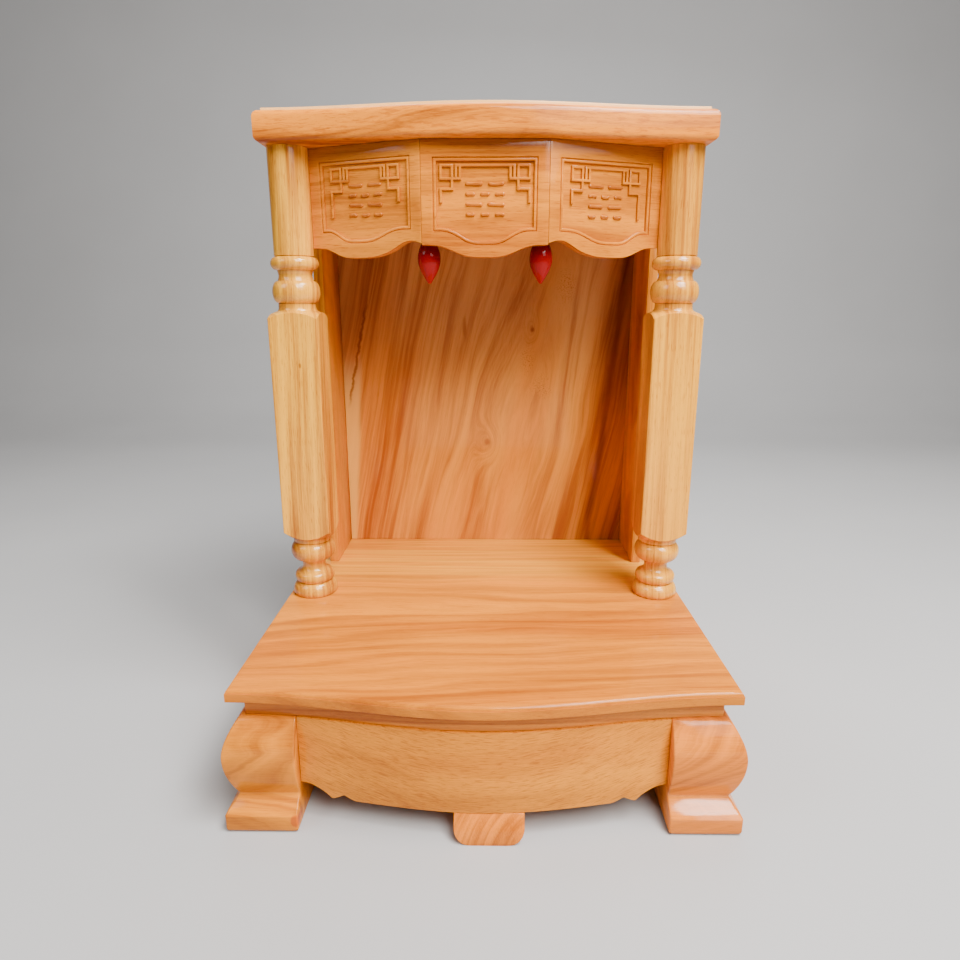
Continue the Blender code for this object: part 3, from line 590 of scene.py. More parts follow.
def column_line(height):
    """Radius against height above the base board."""
    line = [(0.0240, 0.0003), (0.0255, 0.0006), (0.0263, 0.0016), (0.0268, 0.0036), (0.0269, 0.0054)]
    line += [(0.0265, 0.0078), (0.0254, 0.0108), (0.0238, 0.0134), (0.0222, 0.0150), (0.0213, 0.0158)]
    line += bead(0.0164, 0.0292, 0.0192, 0.0237)
    line += [(0.0176, 0.0301), (0.0159, 0.0313), (0.0147, 0.0330), (0.0140, 0.0350), (0.0137, 0.0372)]
    line += [(0.0139, 0.0396), (0.0146, 0.0418), (0.0158, 0.0436)]
    line += bead(0.0446, 0.0680, 0.0176, 0.0264, 16)
    line += [(0.0222, 0.0684), (0.0225, 0.0690), (0.0225, 0.0734), (0.0226, 0.0737)]
    line += [(POST - 0.0030, 0.0738), (POST - 0.0006, 0.0752), (POST + 0.0020, 0.0772)]
    line += [(POST + 0.0052, 0.0798), (POST + 0.0084, 0.0826), (POST_CORNER, 0.0850)]
    line += [(POST_CORNER, 0.3290), (POST + 0.0088, 0.3316), (POST + 0.0052, 0.3338)]
    line += [(POST + 0.0016, 0.3356), (POST - 0.0020, 0.3370), (POST - 0.0050, 0.3384)]
    line += [(0.0211, 0.3398), (0.0206, 0.3412), (0.0206, 0.3456), (0.0207, 0.3462)]
    line += bead(0.3465, 0.3705, 0.0198, 0.0262, 18)
    line += cove(0.3705, 0.3815, 0.0198, 0.0183)
    line += bead(0.3815, 0.3960, 0.0194, 0.0262)
    line += [(0.0213, 0.3962), (SHAFT, SHAFT_LOW)]
    line += [(SHAFT, SHAFT_LOW + (height - SHAFT_LOW) * i / 4) for i in (1, 2, 3)]
    return line + [(SHAFT, height)]


print("the column is turned in", len(column_line(column_high.z - column_low.z)), "rings")

# %% Turned columns
def column(node):
    """One turned column, kept inside its square post."""
    low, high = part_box(node)
    axis = Vector(((low.x + high.x) / 2, (low.y + high.y) / 2, low.z - JOINT_GAP))
    piece = stacked(node + "_detail", column_line(high.z - axis.z), axis, TURN_SIDES)
    post = block(node + "_post", (low.x, low.y, low.z - CLEAR), (high.x, high.y, high.z + CLEAR))
    choose(post, lambda a, b: abs(a.z - b.z) > CLEAR, "EDGE")
    bpy.ops.mesh.bevel(offset=POST_ROUND, segments=3)
    done(post)
    carve(piece, post, "INTERSECT")
    return stand_in(smooth(piece, 30), node)


columns = {node: column(node) for node in ("column_left", "column_right")}

# %% [markdown]
# The lamps are small flame bulbs, tips down, whose holders hide behind the fascia. A bulb could be a
# stretched sphere, but a blown envelope has a blunt tip, a belly nearer its neck and a drawn-in neck,
# so it is stacked ring by ring like the columns.

# %% Flame lamps and their holders
LAMP_SIDES = 40
LAMP_NECK = 0.0062
LAMP_POINT = 0.0020
BELLY_SHARE = 0.57
LAMP_STEPS = 32
HOLDER_SIDES = 32


def lamp(node):
    """One flame bulb, tip down."""
    low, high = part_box(node)
    wide = (high.x - low.x) / 2
    long = high.z - low.z
    axis = Vector(((low.x + high.x) / 2, (low.y + high.y) / 2, low.z))
    line = [(0.0006, 0.0), (0.0014, 0.0003)]
    for i in range(LAMP_STEPS + 1):
        share = i / LAMP_STEPS
        belly = math.sin(math.pi / 2 * min(1.0, share / BELLY_SHARE))
        shoulder = max(0.0, share - BELLY_SHARE) / (1 - BELLY_SHARE)
        radius = LAMP_POINT + (wide - LAMP_POINT) * belly - (wide - LAMP_NECK) * shoulder ** 2
        line.append((radius, LAMP_POINT / 2 + (long - LAMP_POINT / 2) * share))
    return stand_in(smooth(stacked(node, line, axis, LAMP_SIDES), 50), node)


def lamp_holder(node):
    """The ivory cup over a bulb's neck, with a stem and a flange under the top board."""
    low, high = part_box(node)
    wide = (high.x - low.x) / 2
    axis = Vector(((low.x + high.x) / 2, (low.y + high.y) / 2, low.z))
    long = high.z - low.z
    cup, stem, rim = 0.0105, 0.0050, 0.0009
    line = [(cup - rim, 0.0), (cup, rim), (cup, 0.0060), (cup - rim, 0.0066), (cup - rim, 0.0074)]
    line += [(cup, 0.0080), (cup, 0.0270), (cup - 0.0008, 0.0290), (cup - 0.0030, 0.0300)]
    line += [(stem + 0.0010, 0.0303), (stem, 0.0315), (stem, long - 0.0036)]
    line += [(wide - 0.0004, long - 0.0027), (wide, long - 0.0023), (wide, long)]
    return stand_in(smooth(stacked(node, line, axis, HOLDER_SIDES)), node)


lamps = [lamp("lamp_left"), lamp("lamp_right")]
holders = [lamp_holder("lamp_holder_left"), lamp_holder("lamp_holder_right")]

# %% [markdown]
# The fascia is three boards set in a shallow bay, each with a carved field: a groove, a raised bead,
# and a sunk ground with a traditional square key pattern standing in it. A carver draws the outline,
# cuts the ground down and leaves the pattern. Here a solid shaped like the waste is cut away, and the
# pattern is then joined on. Each board is made flat, facing the front, and turned into its place at the
# very end.

# %% The blank of a fascia board, with its wavy lower edge
FASCIA_THICK = 0.012
FASCIA_WIDTH = 0.1308
WING_ACROSS = -column_low.x - POST - SHAFT - JOINT_GAP - FASCIA_WIDTH / 2
WING_BACK = 0.045
WING_WIDTH = math.hypot(WING_ACROSS, WING_BACK)
WING_TURN = math.atan2(WING_BACK, WING_ACROSS)
SEAM_DROP = 0.1005
EDGE_DIP = {-1: 0.0110, 0: 0.0120, 1: 0.0110}
DIP_SHIFT = 0.0110
SEAM_LIFT = 0.0050
SEAM_LIFT_AT = 0.78      # shares of half a board's width
SEAM_LIFT_RUN = 0.38
SEAM_GAP = 0.00015
EDGE_STEPS = 24
BLANK_ROUND = 0.0006


def dip(u, half, centre):
    """A smooth dip: one at its centre, nothing at both ends."""
    run = half + centre if u < centre else half - centre
    share = bow(u - centre, run) if abs(u - centre) < run else 0.0
    return share * share * (3 - 2 * share)


def lower_edge(u, half, hand):
    """Distance from a board's top down to its wavy edge."""
    drop = SEAM_DROP + EDGE_DIP[hand] * dip(u, half, hand * DIP_SHIFT)
    off = hand * u + SEAM_LIFT_AT * half
    run = SEAM_LIFT_RUN * half
    if hand and abs(off) < run:
        drop -= SEAM_LIFT * bow(off, run)
    return drop


def blank(name, hand, half):
    """A board with its wavy edge, mitred where it meets the next board."""
    steps = [half * (1 - i / EDGE_STEPS) for i in range(2 * EDGE_STEPS + 1)]
    outline = [(-half, 0, 0), (half, 0, 0)] + [(u, 0, -lower_edge(u, half, hand)) for u in steps]
    piece = traced(name, outline, (0, FASCIA_THICK, 0))
    mitre = math.tan(WING_TURN / 2) * FASCIA_THICK
    for side in (-1, 1):
        if side != hand:
            choose(piece, lambda point: point.x * side > half - PICK)
            bpy.ops.transform.translate(value=(-side * SEAM_GAP, 0, 0))
            inner = half - 2 * SEAM_GAP
            choose(piece, lambda point: point.x * side > inner and point.y > FASCIA_THICK / 2)
            bpy.ops.transform.translate(value=(-side * mitre, 0, 0))
            done(piece)
    return ease(piece, BLANK_ROUND)


print("wing boards are turned by", round(math.degrees(WING_TURN), 1), "degrees")

# %% The waste that a carver takes out: groove, bead and sunk ground
FIELD_RAISE = {-1: 0.0025, 0: 0.0, 1: 0.0}
FIELD_DIP = {-1: 0.0120, 0: 0.0135, 1: 0.0120}
FIELD_TOP = 0.0165
FIELD_HALF = 0.0535
FIELD_BASE = 0.0875
FIELD_STEPS = 20
FIELD_PLAIN = 0.0465
GROUND = 0.0031
WASTE_FRONT = 0.0050
WASTE_CUT = 0.0002
BEAD_STEPS = (
    (0.0005, 0.0011), (0.0004, 0.0), (0.0006, -0.0009), (0.0007, -0.0002), (0.0008, 0.0),
    (0.0006, 0.0003), (0.0004, 0.0008), (0.0004, GROUND - 0.0013))


def waste(hand):
    """The solid whose inner face is the mould of the groove, bead and ground.

    The outline has no short edge by its corners, because the insets would turn one inside out.
    """
    raised = FIELD_RAISE[hand]
    outline = [(-FIELD_HALF, raised - FIELD_TOP), (FIELD_HALF, raised - FIELD_TOP)]
    for i in range(2 * FIELD_STEPS + 1):
        u = FIELD_HALF * (1 - i / FIELD_STEPS)
        if FIELD_PLAIN < abs(u) < FIELD_HALF - PICK:
            continue
        sag = FIELD_DIP[hand] * dip(u, FIELD_HALF, hand * DIP_SHIFT)
        outline.append((u, raised - FIELD_BASE - sag))
    line = [(u, -WASTE_FRONT, v) for u, v in outline]
    piece = traced("waste", line, (0, WASTE_FRONT + WASTE_CUT, 0))
    choose(piece, lambda centre, normal: normal.y > FACING, "FACE")
    for inwards, deeper in BEAD_STEPS:
        bpy.ops.mesh.inset(thickness=inwards, depth=deeper, use_boundary=True, use_even_offset=True)
    return done(piece)


print("the field's edge is moulded in", len(BEAD_STEPS), "steps")

# %% The square key pattern, laid out as cells and drawn up
FRET_BAR = 0.0027
FRET_DROP = 0.0244
FRET_RING = 0.0115
FRET_SLOT = 0.0040
FRET_SQUARE = 0.0124
FRET_STEP = 0.0222
FRET_TAIL = 0.0340
FRET_LONG_TAIL = 0.0470
FRET_OUTER = {-1: 0.0395, 0: 0.0450, 1: 0.0395}
FRET_ROUND = 0.0010
FRET_PROFILE = 0.55
RELIEF = 0.0027
ROOT = 0.0006


def fret_bars(hand):
    """Bars of the pattern as (left, right, top, bottom), measured down from the board's top."""
    outer = FRET_OUTER[hand]
    near, far = FRET_RING + FRET_SLOT, FRET_RING + 2 * FRET_SLOT
    runs = []
    for side in (-1, 1):
        tail = FRET_LONG_TAIL if side == hand else FRET_TAIL
        runs += [
            (side, 0, 0, FRET_RING, 0), (side, 0, 0, 0, FRET_SQUARE),
            (side, FRET_RING, 0, FRET_RING, FRET_STEP),
            (side, near, 0, near, FRET_SQUARE), (side, far, 0, far, FRET_SQUARE), (side, near, 0, far, 0),
            (side, 0, FRET_SQUARE, far, FRET_SQUARE), (side, 0, FRET_STEP, FRET_RING, FRET_STEP),
            (side, 0, FRET_STEP, 0, tail)]
    runs.append((1, far, 0, 2 * outer - far, 0))
    bars = []
    thick = FRET_BAR / 2
    for side, a0, v0, a1, v1 in runs:
        u0, u1 = sorted((side * (outer - a0), side * (outer - a1)))
        bars.append((u0 - thick, u1 + thick, FRET_DROP + v0 - thick, FRET_DROP + v1 + thick))
    return bars


def fret(hand):
    """A plane is ruled into cells along the bars' lines, the open cells go, and the rest is drawn up."""
    bars = fret_bars(hand)
    across = sorted({round(b[i], 6) for b in bars for i in (0, 1)})
    down = sorted({round(b[i], 6) for b in bars for i in (2, 3)})
    raised = FIELD_RAISE[hand]
    clear_choice()
    root = GROUND + ROOT
    bpy.ops.mesh.primitive_plane_add(
        size=1, location=((across[0] + across[-1]) / 2, root, raised - (down[0] + down[-1]) / 2),
        rotation=(math.pi / 2, 0, 0))
    piece = bpy.context.object
    piece.scale = (across[-1] - across[0], down[-1] - down[0], 1)
    settle(piece)
    choose(piece, lambda point: True)
    for u in across[1:-1]:
        bpy.ops.mesh.select_all(action="SELECT")
        bpy.ops.mesh.bisect(plane_co=(u, 0, 0), plane_no=(1, 0, 0))
    for v in down[1:-1]:
        bpy.ops.mesh.select_all(action="SELECT")
        bpy.ops.mesh.bisect(plane_co=(0, 0, raised - v), plane_no=(0, 0, 1))

    def open_cell(centre, normal):
        u, v = centre.x, raised - centre.z
        return not any(b[0] < u < b[1] and b[2] < v < b[3] for b in bars)

    choose(piece, open_cell, "FACE")
    bpy.ops.mesh.delete(type="FACE")
    done(piece)
    choose(piece, lambda point: True)
    bpy.ops.mesh.dissolve_limited(angle_limit=LEVEL_ANGLE)
    bpy.ops.mesh.select_all(action="SELECT")
    bpy.ops.mesh.extrude_region_move(TRANSFORM_OT_translate={"value": (0, -RELIEF - ROOT, 0)})
    done(piece)
    face_outwards(piece)
    front = root - RELIEF - ROOT
    choose(piece, lambda a, b: max(a.y, b.y) < front + PICK, "EDGE")
    bpy.ops.mesh.bevel(offset=FRET_ROUND, segments=4, profile=FRET_PROFILE)
    return done(piece)


print("the key pattern has", len(fret_bars(0)), "bars on each board")

# %% [markdown]
# The ground of each field is filled with rows of short level strokes in low round relief. They stand
# for nothing. Copies of one stroke would look stamped. So each is stacked ring by ring with fuller ends
# and laid on its side, with a length, a bend and a tilt of its own, as a hand tool leaves them.

# %% Rows of level strokes
import random

STROKE_ROWS = (2, 3, 2, 3)
STROKE_DROP = 0.0390
STROKE_ROW = 0.0098
STROKE_HEIGHT = 0.0048
STROKE_SPREAD = 0.0200
STROKE_SPACE = 0.0052
STROKE_RISE = 0.0025
STROKE_STEPS = 24
STROKE_SIDES = 20
STROKE_MIDDLE = 0.80       # its height at the middle, as a share of its ends
STROKE_POWER = 2.5
STROKE_TIP = 0.00005
STROKE_SUNK = 0.0001
STROKE_LIFT = 0.0007       # the most that its middle is bent up or down
STROKE_TILT = 0.05
STROKE_VARY = (0.94, 1.06)
BEND_PICK = 0.12           # shares of its length that a bend takes hold of
BEND_REACH = 0.42
hand_cut = random.Random(7)


def stroke(length, u, v):
    """One stroke: a turned bar with fuller ends, laid level and pressed flat."""
    thick = STROKE_HEIGHT / 2
    line = []
    for i in range(STROKE_STEPS + 1):
        along = 0.5 * (1 - math.cos(math.pi * i / STROKE_STEPS))
        end = min(along, 1 - along) * length / thick
        tip = math.sqrt(max(0.0, 1 - (1 - min(1.0, end)) ** 2))
        swell = STROKE_MIDDLE + (1 - STROKE_MIDDLE) * abs(2 * along - 1) ** STROKE_POWER
        line.append((max(STROKE_TIP, thick * tip * swell), along * length))
    piece = stacked("stroke", line, (0, 0, 0), STROKE_SIDES)
    piece.rotation_euler = (0, math.pi / 2, 0)
    piece.location = (-length / 2, 0, 0)
    settle(piece)
    piece.scale = (1, STROKE_RISE / thick, 1)
    settle(piece)
    lift = hand_cut.uniform(-STROKE_LIFT, STROKE_LIFT)
    choose(piece, lambda point: abs(point.x) < length * BEND_PICK)
    bpy.ops.transform.translate(
        value=(0, 0, lift), use_proportional_edit=True, proportional_edit_falloff="SMOOTH",
        proportional_size=length * BEND_REACH)
    done(piece)
    piece.location = (u, GROUND + STROKE_SUNK, -v)
    piece.rotation_euler = (0, hand_cut.uniform(-STROKE_TILT, STROKE_TILT), 0)
    return settle(piece)


def strokes(hand):
    """All the strokes of one field, joined into one mesh."""
    made = []
    for row, count in enumerate(STROKE_ROWS):
        pitch = (2 * STROKE_SPREAD + STROKE_SPACE) / count
        for i in range(count):
            length = (pitch - STROKE_SPACE) * hand_cut.uniform(*STROKE_VARY)
            u = (i + 0.5) * pitch - STROKE_SPREAD - STROKE_SPACE / 2
            v = STROKE_DROP + STROKE_HEIGHT / 2 + row * STROKE_ROW - FIELD_RAISE[hand]
            made.append(stroke(length, u, v))
    clear_choice()
    for piece in made:
        piece.select_set(True)
    bpy.context.view_layer.objects.active = made[0]
    bpy.ops.object.join()
    return bpy.context.object


print("strokes in each field:", sum(STROKE_ROWS))

# %% The three fascia boards, carved and set in their bay
def fascia_board(node, hand):
    """One board: its blank, its carving, and its place. hand is -1, 0 or 1 from left to right."""
    half = (WING_WIDTH if hand else FASCIA_WIDTH) / 2
    piece = blank(node + "_detail", hand, half)
    carve(piece, waste(hand))
    carve(piece, fret(hand), "UNION")
    carve(piece, strokes(hand), "UNION")
    low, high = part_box("fascia_center")
    seam = Matrix.Translation((hand * FASCIA_WIDTH / 2, low.y, high.z))
    if hand:
        seam = seam @ Matrix.Rotation(hand * WING_TURN, 4, "Z") @ Matrix.Translation((hand * half, 0, 0))
    piece.matrix_world = seam
    return stand_in(smooth(settle(piece), 28), node)


fascia = {
    "fascia_left": fascia_board("fascia_left", -1), "fascia_center": fascia_board("fascia_center", 0),
    "fascia_right": fascia_board("fascia_right", 1)}

# %% [markdown]
# Varnish and wood come from node materials. A node tree drawn by hand is hard to read as code, so one
# small class wraps a socket and lets shader maths be written as plain sums, and a second one adds any
# other node. What changes over the surface feeds colour, roughness and bump. What is the same
# everywhere is set on the shader's own sockets.

# %% Shader maths written as sums
class Wire:
    """An output in a material, so that a + b or 1 - a adds its Math node."""

    def __init__(self, paint, socket):
        self.paint = paint
        self.socket = socket

    def maths(self, operation, first, second=0.0):
        return self.paint.node("ShaderNodeMath", {"operation": operation}, {0: first, 1: second})

    def __add__(self, other):
        return self.maths("ADD", self, other)

    def __radd__(self, other):
        return self.maths("ADD", other, self)

    def __sub__(self, other):
        return self.maths("SUBTRACT", self, other)

    def __rsub__(self, other):
        return self.maths("SUBTRACT", other, self)

    def __mul__(self, other):
        return self.maths("MULTIPLY", self, other)

    def __rmul__(self, other):
        return self.maths("MULTIPLY", other, self)

    def __truediv__(self, other):
        return self.maths("DIVIDE", self, other)

    def __pow__(self, other):
        return self.maths("POWER", self, other)

    def __abs__(self):
        return self.maths("ABSOLUTE", self)

    def sine(self):
        return self.maths("SINE", self)

    def exp(self):
        return self.maths("EXPONENT", self)


print("sums of sockets are ready")

# %% A material, and the few nodes that it needs
OBJECT_OUTPUT = 3   # Texture Coordinate's output for Object coordinates
MIX_OUTPUT = 2      # Mix's output for colours, whose colour sockets are 6 and 7


class Paint:
    """One material: its constants go on the shader, and the rest is wired up with node()."""

    def __init__(self, name, finish):
        self.material = bpy.data.materials.new(name)
        self.material.use_nodes = True
        self.tree = self.material.node_tree
        self.shader = self.tree.nodes["Principled BSDF"]
        for key, value in finish.items():
            self.shader.inputs[key].default_value = value

    def node(self, kind, settings=None, sockets=None, out=0):
        """Any node: its settings first, then the values or links of its sockets."""
        made = self.tree.nodes.new(kind)
        for key, value in (settings or {}).items():
            setattr(made, key, value)
        for key, value in (sockets or {}).items():
            if isinstance(value, Wire):
                self.tree.links.new(value.socket, made.inputs[key])
            else:
                made.inputs[key].default_value = value
        return Wire(self, made.outputs[out])

    def feed(self, key, wire):
        """Wire a value or a colour into the shader."""
        self.tree.links.new(wire.socket, self.shader.inputs[key])

    def own_place(self):
        """Where a point is in the piece's own coordinates."""
        return self.node("ShaderNodeTexCoord", None, None, OBJECT_OUTPUT)

    def noise(self, place, scale, detail=2.0, rough=0.5):
        """Soft random patches, whose size is one over their scale."""
        return self.node("ShaderNodeTexNoise", None, {
            "Vector": place, "Scale": scale, "Detail": detail, "Roughness": rough})

    def soft(self, value, low, high):
        """Nothing below low, one above high, and smooth between them."""
        return self.node("ShaderNodeMapRange", {"interpolation_type": "SMOOTHSTEP"}, {
            "Value": value, "From Min": low, "From Max": high})

    def fade(self, share, first, second):
        """A colour that goes from the first to the second."""
        sockets = {0: share, 6: first, 7: second}
        return self.node("ShaderNodeMix", {"data_type": "RGBA"}, sockets, MIX_OUTPUT)

    def tint(self, share, colour, by):
        """A colour multiplied by another one, as far as share says."""
        settings = {"data_type": "RGBA", "blend_type": "MULTIPLY"}
        return self.node("ShaderNodeMix", settings, {0: share, 6: colour, 7: by}, MIX_OUTPUT)

    def parts(self, vector):
        """A vector's three numbers."""
        made = self.tree.nodes.new("ShaderNodeSeparateXYZ")
        self.tree.links.new(vector.socket, made.inputs[0])
        return [Wire(self, made.outputs[i]) for i in range(3)]

    def vector(self, x, y, z):
        """One vector from three numbers."""
        return self.node("ShaderNodeCombineXYZ", None, {0: x, 1: y, 2: z})


print("materials can be mixed")

# %% [markdown]
# Wood figure is geometry: a log is a stack of wandering cones, and a board shows where its faces cut
# them. A picture of wood wrapped on would break at every edge. Instead each material places a log's
# heart near its board and measures the distance to it, so the grain runs on round the edges and shows
# as rings on the ends. Fine fibres, pores and slow changes of hue lie over it, and a clear coat over
# all that is the varnish.

# %% Varnish, and the wood's own colours
VARNISH = {"Specular IOR Level": 0.04, "Coat Weight": 0.38, "Coat Roughness": 0.12, "Coat IOR": 1.5}
HONEY = (0.850, 0.268, 0.006, 1)
AMBER = (0.330, 0.066, 0.002, 1)
STRAW = (0.920, 0.355, 0.014, 1)
BLOND = (0.960, 0.420, 0.022, 1)
ROSE = (0.870, 0.240, 0.016, 1)
RICH = (1.0, 0.84, 0.55, 1)
PALE = (1.04, 1.12, 1.25, 1)
PORE = (0.60, 0.40, 0.26, 1)
print("varnish coat", VARNISH["Coat Weight"])

# %% A board cut from a log
FIBRES = 1100           # fibres across a metre
PORES = 1500            # and pores
RIPPLE_PITCH = 0.0023   # from one planer ripple to the next
GRAIN_DEPTH = 0.0001
GRAIN_STRENGTH = 0.3


def log_places(paint, along, slant):
    """Places across the grain, across it the other way, and along it, from the object's own coordinates."""
    own = paint.own_place()
    x, y, z = paint.parts(own)
    u, v, w = {"X": (y, z, x), "Y": (x, z, y), "Z": (x, y, z)}[along]
    return own, u - w * slant[0], v - w * slant[1], w


def wood(name, along, heart, slant=(0.0, 0.0), lean=(0.0, 0.0), ring=0.010, wander=0.010, light=HONEY,
         dark=AMBER, figure=0.6, rings=0.25, streaks=0.5, pores=0.35, drift=0.5, seed=0.0, chatter=0.0,
         bend=None, marks=None):
    """Varnished wood whose grain runs along an axis.

    heart is where the log's middle lies across the grain, slant is how far the fibres lean per metre, and
    lean is how far the heart drifts from them. bend may push the rings aside, and marks may add stains,
    painted shade or painted highlights to a board.
    chatter is the height of the fine level ripples that a planer leaves.
    """
    paint = Paint(name, VARNISH)
    own, u, v, w = log_places(paint, along, slant)

    def mottle(across, other, length, detail=2.0, rough=0.5):
        return paint.noise(paint.vector(across, other, length), 1.0, detail, rough)

    # How far each point is from the log's wandering heart
    sway = mottle(u * 9 + seed, v * 9, w * 2.2) - 0.5
    ripple = mottle(u * 50 + seed, v * 50, w * 9) - 0.5
    from_u = u - heart[0] - w * lean[0]
    from_v = v - heart[1] - w * lean[1]
    reach = (from_u * from_u + from_v * from_v) ** 0.5 + sway * (wander * 2.4) + ripple * (wander * 0.3)
    if bend:
        reach = reach + bend(paint, own)

    # Growth rings, streaks and fibres give how dark the figure is
    growth = mottle(reach / ring, u * 5 + seed, w * 1.5 + seed, 5.0, 0.62)
    wave = ((reach / ring + growth * 1.6) * (2 * math.pi)).sine()
    fibre = mottle(u * FIBRES + sway * 40 + seed, v * FIBRES, w * 24, 3.0, 0.6)
    streak = mottle(reach * 260, u * 30 + seed, w * 5, 4.0, 0.62)
    broad = mottle(u * 22 + seed, v * 22, w * 3)
    depth = ((growth - 0.5) * (figure * 3.2) + wave * (rings * 0.5) + (streak - 0.5) * (streaks * 2.2)
             + (fibre - 0.5) * 0.5 + (broad - 0.5) * (drift * 2.2) + 0.36)
    colour = paint.fade(paint.soft(depth, -0.15, 1.15), light, dark)

    # Slow changes of hue, and pores
    hue = mottle(u * 14 - seed, v * 14, w * 1.4)
    colour = paint.tint(paint.soft(hue, 0.48, 0.68) * 0.6, colour, RICH)
    colour = paint.tint(paint.soft(1 - hue, 0.50, 0.70) * 0.5, colour, PALE)
    pore = paint.soft(mottle(u * PORES + sway * 30, v * PORES + seed, w * 75, 1.0), 0.60, 0.70)
    colour = paint.tint(pore * pores, colour, PORE)
    if marks:
        colour = marks(paint, own, colour)
    paint.feed("Base Color", colour)

    # The varnish follows the grain a little
    gloss = mottle(u * 30, v * 30 + seed, w * 12)
    paint.feed("Roughness", 0.30 + gloss * 0.16 + pore * 0.08)
    height = fibre * 0.5 + streak * 0.4 - pore * 0.6
    if chatter:
        level = paint.parts(own)[2]
        height = height + (level * (2 * math.pi / RIPPLE_PITCH) + ripple * 6).sine() * (broad * chatter)
    grain = {"Strength": GRAIN_STRENGTH, "Distance": GRAIN_DEPTH, "Height": height}
    paint.feed("Normal", paint.node("ShaderNodeBump", None, grain))
    return paint


def dress(paint, *pieces):
    """Give pieces their material."""
    for piece in pieces:
        piece.data.materials.clear()
        piece.data.materials.append(paint.material)
    print(paint.material.name, "on", ", ".join(piece.name for piece in pieces))


print("fibres are", round(1000 / FIBRES, 2), "mm apart")

# %% [markdown]
# Some boards have curl: the fibres wave in and out of the cut, and the finish shows it as short bright
# and dark dashes. The apron is full of them, and they flow down from the left and level out, so their
# pattern follows a shallow bowl instead of a straight line.

# %% Curl, bands and a painted edge highlight
FLECK_DARK = (0.60, 0.43, 0.26, 1)
FLECK_PALE = (1.10, 1.20, 1.40, 1)
NICHE_PAINTED_LIGHT = (0.96, 0.40, 0.022, 1)
BAND_PALE = (0.97, 0.47, 0.035, 1)
FRONT_PAINTED_SHADE = (0.92, 0.88, 0.8, 1)
FILLET_HIGHLIGHT = (1.0, 0.60, 0.22, 1)


def curl(bowl, strength, along="x", long=90, thin=950):
    """Short dashes that follow a bowl-shaped curve across the board's face."""
    def add(paint, place, colour):
        x, y, z = paint.parts(place)
        run, depth = (x, y) if along == "x" else (y, x)
        level = z - run * run * bowl
        waver = paint.noise(paint.vector(run * 30, depth * 30, level * 60), 1.0, 2.0) - 0.5
        bent = (level + waver * 0.006) * thin
        dash = paint.noise(paint.vector(run * long, depth * 150, bent), 1.0, 3.0, 0.55)
        colour = paint.tint(paint.soft(dash, 0.52, 0.64) * strength, colour, FLECK_DARK)
        return paint.tint(paint.soft(1 - dash, 0.53, 0.66) * strength, colour, FLECK_PALE)
    return add


def pale_bands_and_painted_light(paint, place, colour):
    """The strips by the niche, where the board turns to straight pale bands, over painted light towards the
    niche and painted shade at the front.
    """
    x, y, z = paint.parts(place)
    band = paint.noise(paint.vector(x * 1.2, y * 95 + x * 1.5, z * 20), 1.0, 2.0, 0.6)
    share = paint.soft(band, 0.44, 0.56) * paint.soft(y, 0.03, 0.11)
    # painted light towards the niche, then painted shade at the front of the board
    colour = paint.fade(paint.soft(y, -0.06, 0.14) * 0.4, colour, NICHE_PAINTED_LIGHT)
    colour = paint.tint(1 - paint.soft(y, -0.20, -0.05), colour, FRONT_PAINTED_SHADE)
    return paint.fade(share * 0.5, colour, BAND_PALE)


def curl_and_fillet_highlight(paint, place, colour):
    """The top board's flecks, and a painted highlight along its narrow upper fillet."""
    colour = curl(0.0, 0.5, long=60, thin=500)(paint, place, colour)
    z = paint.parts(place)[2]
    fillet = paint.soft(z, top_high.z - 0.0036, top_high.z - 0.0024)
    fillet = fillet * (1 - paint.soft(z, top_high.z - 0.0003, top_high.z - 0.0001))
    # painted highlight along the upper fillet
    return paint.fade(fillet * 0.75, colour, FILLET_HIGHLIGHT)


print("curl is ready")

# %% The boards of the top, base, rails and aprons
base_wood = wood(
    "base_wood", "X", (-0.030, base_high.z - 0.095), lean=(0.05, -0.04), ring=0.0130, wander=0.022,
    figure=0.42, rings=0.22, streaks=0.30, pores=0.4, drift=0.4, seed=3.1, marks=pale_bands_and_painted_light)
top_wood = wood(
    "top_wood", "X", (TOP_CORNER + 0.04, top_high.z + 0.07), lean=(0.05, 0.04), ring=0.0110, wander=0.014,
    figure=0.9, rings=0.1, streaks=0.8, drift=1.3, seed=11.7, light=(0.83, 0.24, 0.004, 1),
    marks=curl_and_fillet_highlight)
rail_wood = wood(
    "rail_wood", "X", (RAIL_FACE - 0.05, rail_low.z - 0.08), ring=0.006, wander=0.009, figure=0.6, seed=5.3,
    light=(0.78, 0.26, 0.024, 1))
rail_side_wood = wood(
    "rail_side_wood", "Y", (RAIL_HALF + 0.05, rail_low.z - 0.08), ring=0.006, wander=0.009, seed=6.4)
apron_wood = wood(
    "apron_wood", "X", (APRON_FACE + 0.12, 0.02), lean=(0.1, 0.16), ring=0.016, wander=0.02, figure=0.3,
    rings=0.05, streaks=0.25, pores=0.2, seed=8.9, light=(0.90, 0.30, 0.008, 1), marks=curl(1.3, 0.6))
apron_side_wood = wood(
    "apron_side_wood", "Y", (RAIL_HALF - 0.12, 0.02), lean=(0.1, 0.16), ring=0.016, wander=0.02, figure=0.3,
    rings=0.05, streaks=0.25, pores=0.2, seed=2.2, marks=curl(0.6, 0.6, "y"))
dress(base_wood, boards["base_board"])
dress(top_wood, boards["top_board"])
dress(rail_wood, boards["rail_front"], boards["rail_back"])
dress(rail_side_wood, boards["rail_left"], boards["rail_right"])
dress(apron_wood, boards["apron_front"], boards["apron_back"])
dress(apron_side_wood, boards["apron_left"], boards["apron_right"])

# %% [markdown]
# The feet are sawn from thick blocks, so their bellies show curved figure. The left toe has a dark
# reddish patch at its inner end, and the right toe's slope keeps the thickest varnish. The blocks'
# lowest edges have rubbed on the ground: varnish is gone there and dust has got into the fibres.

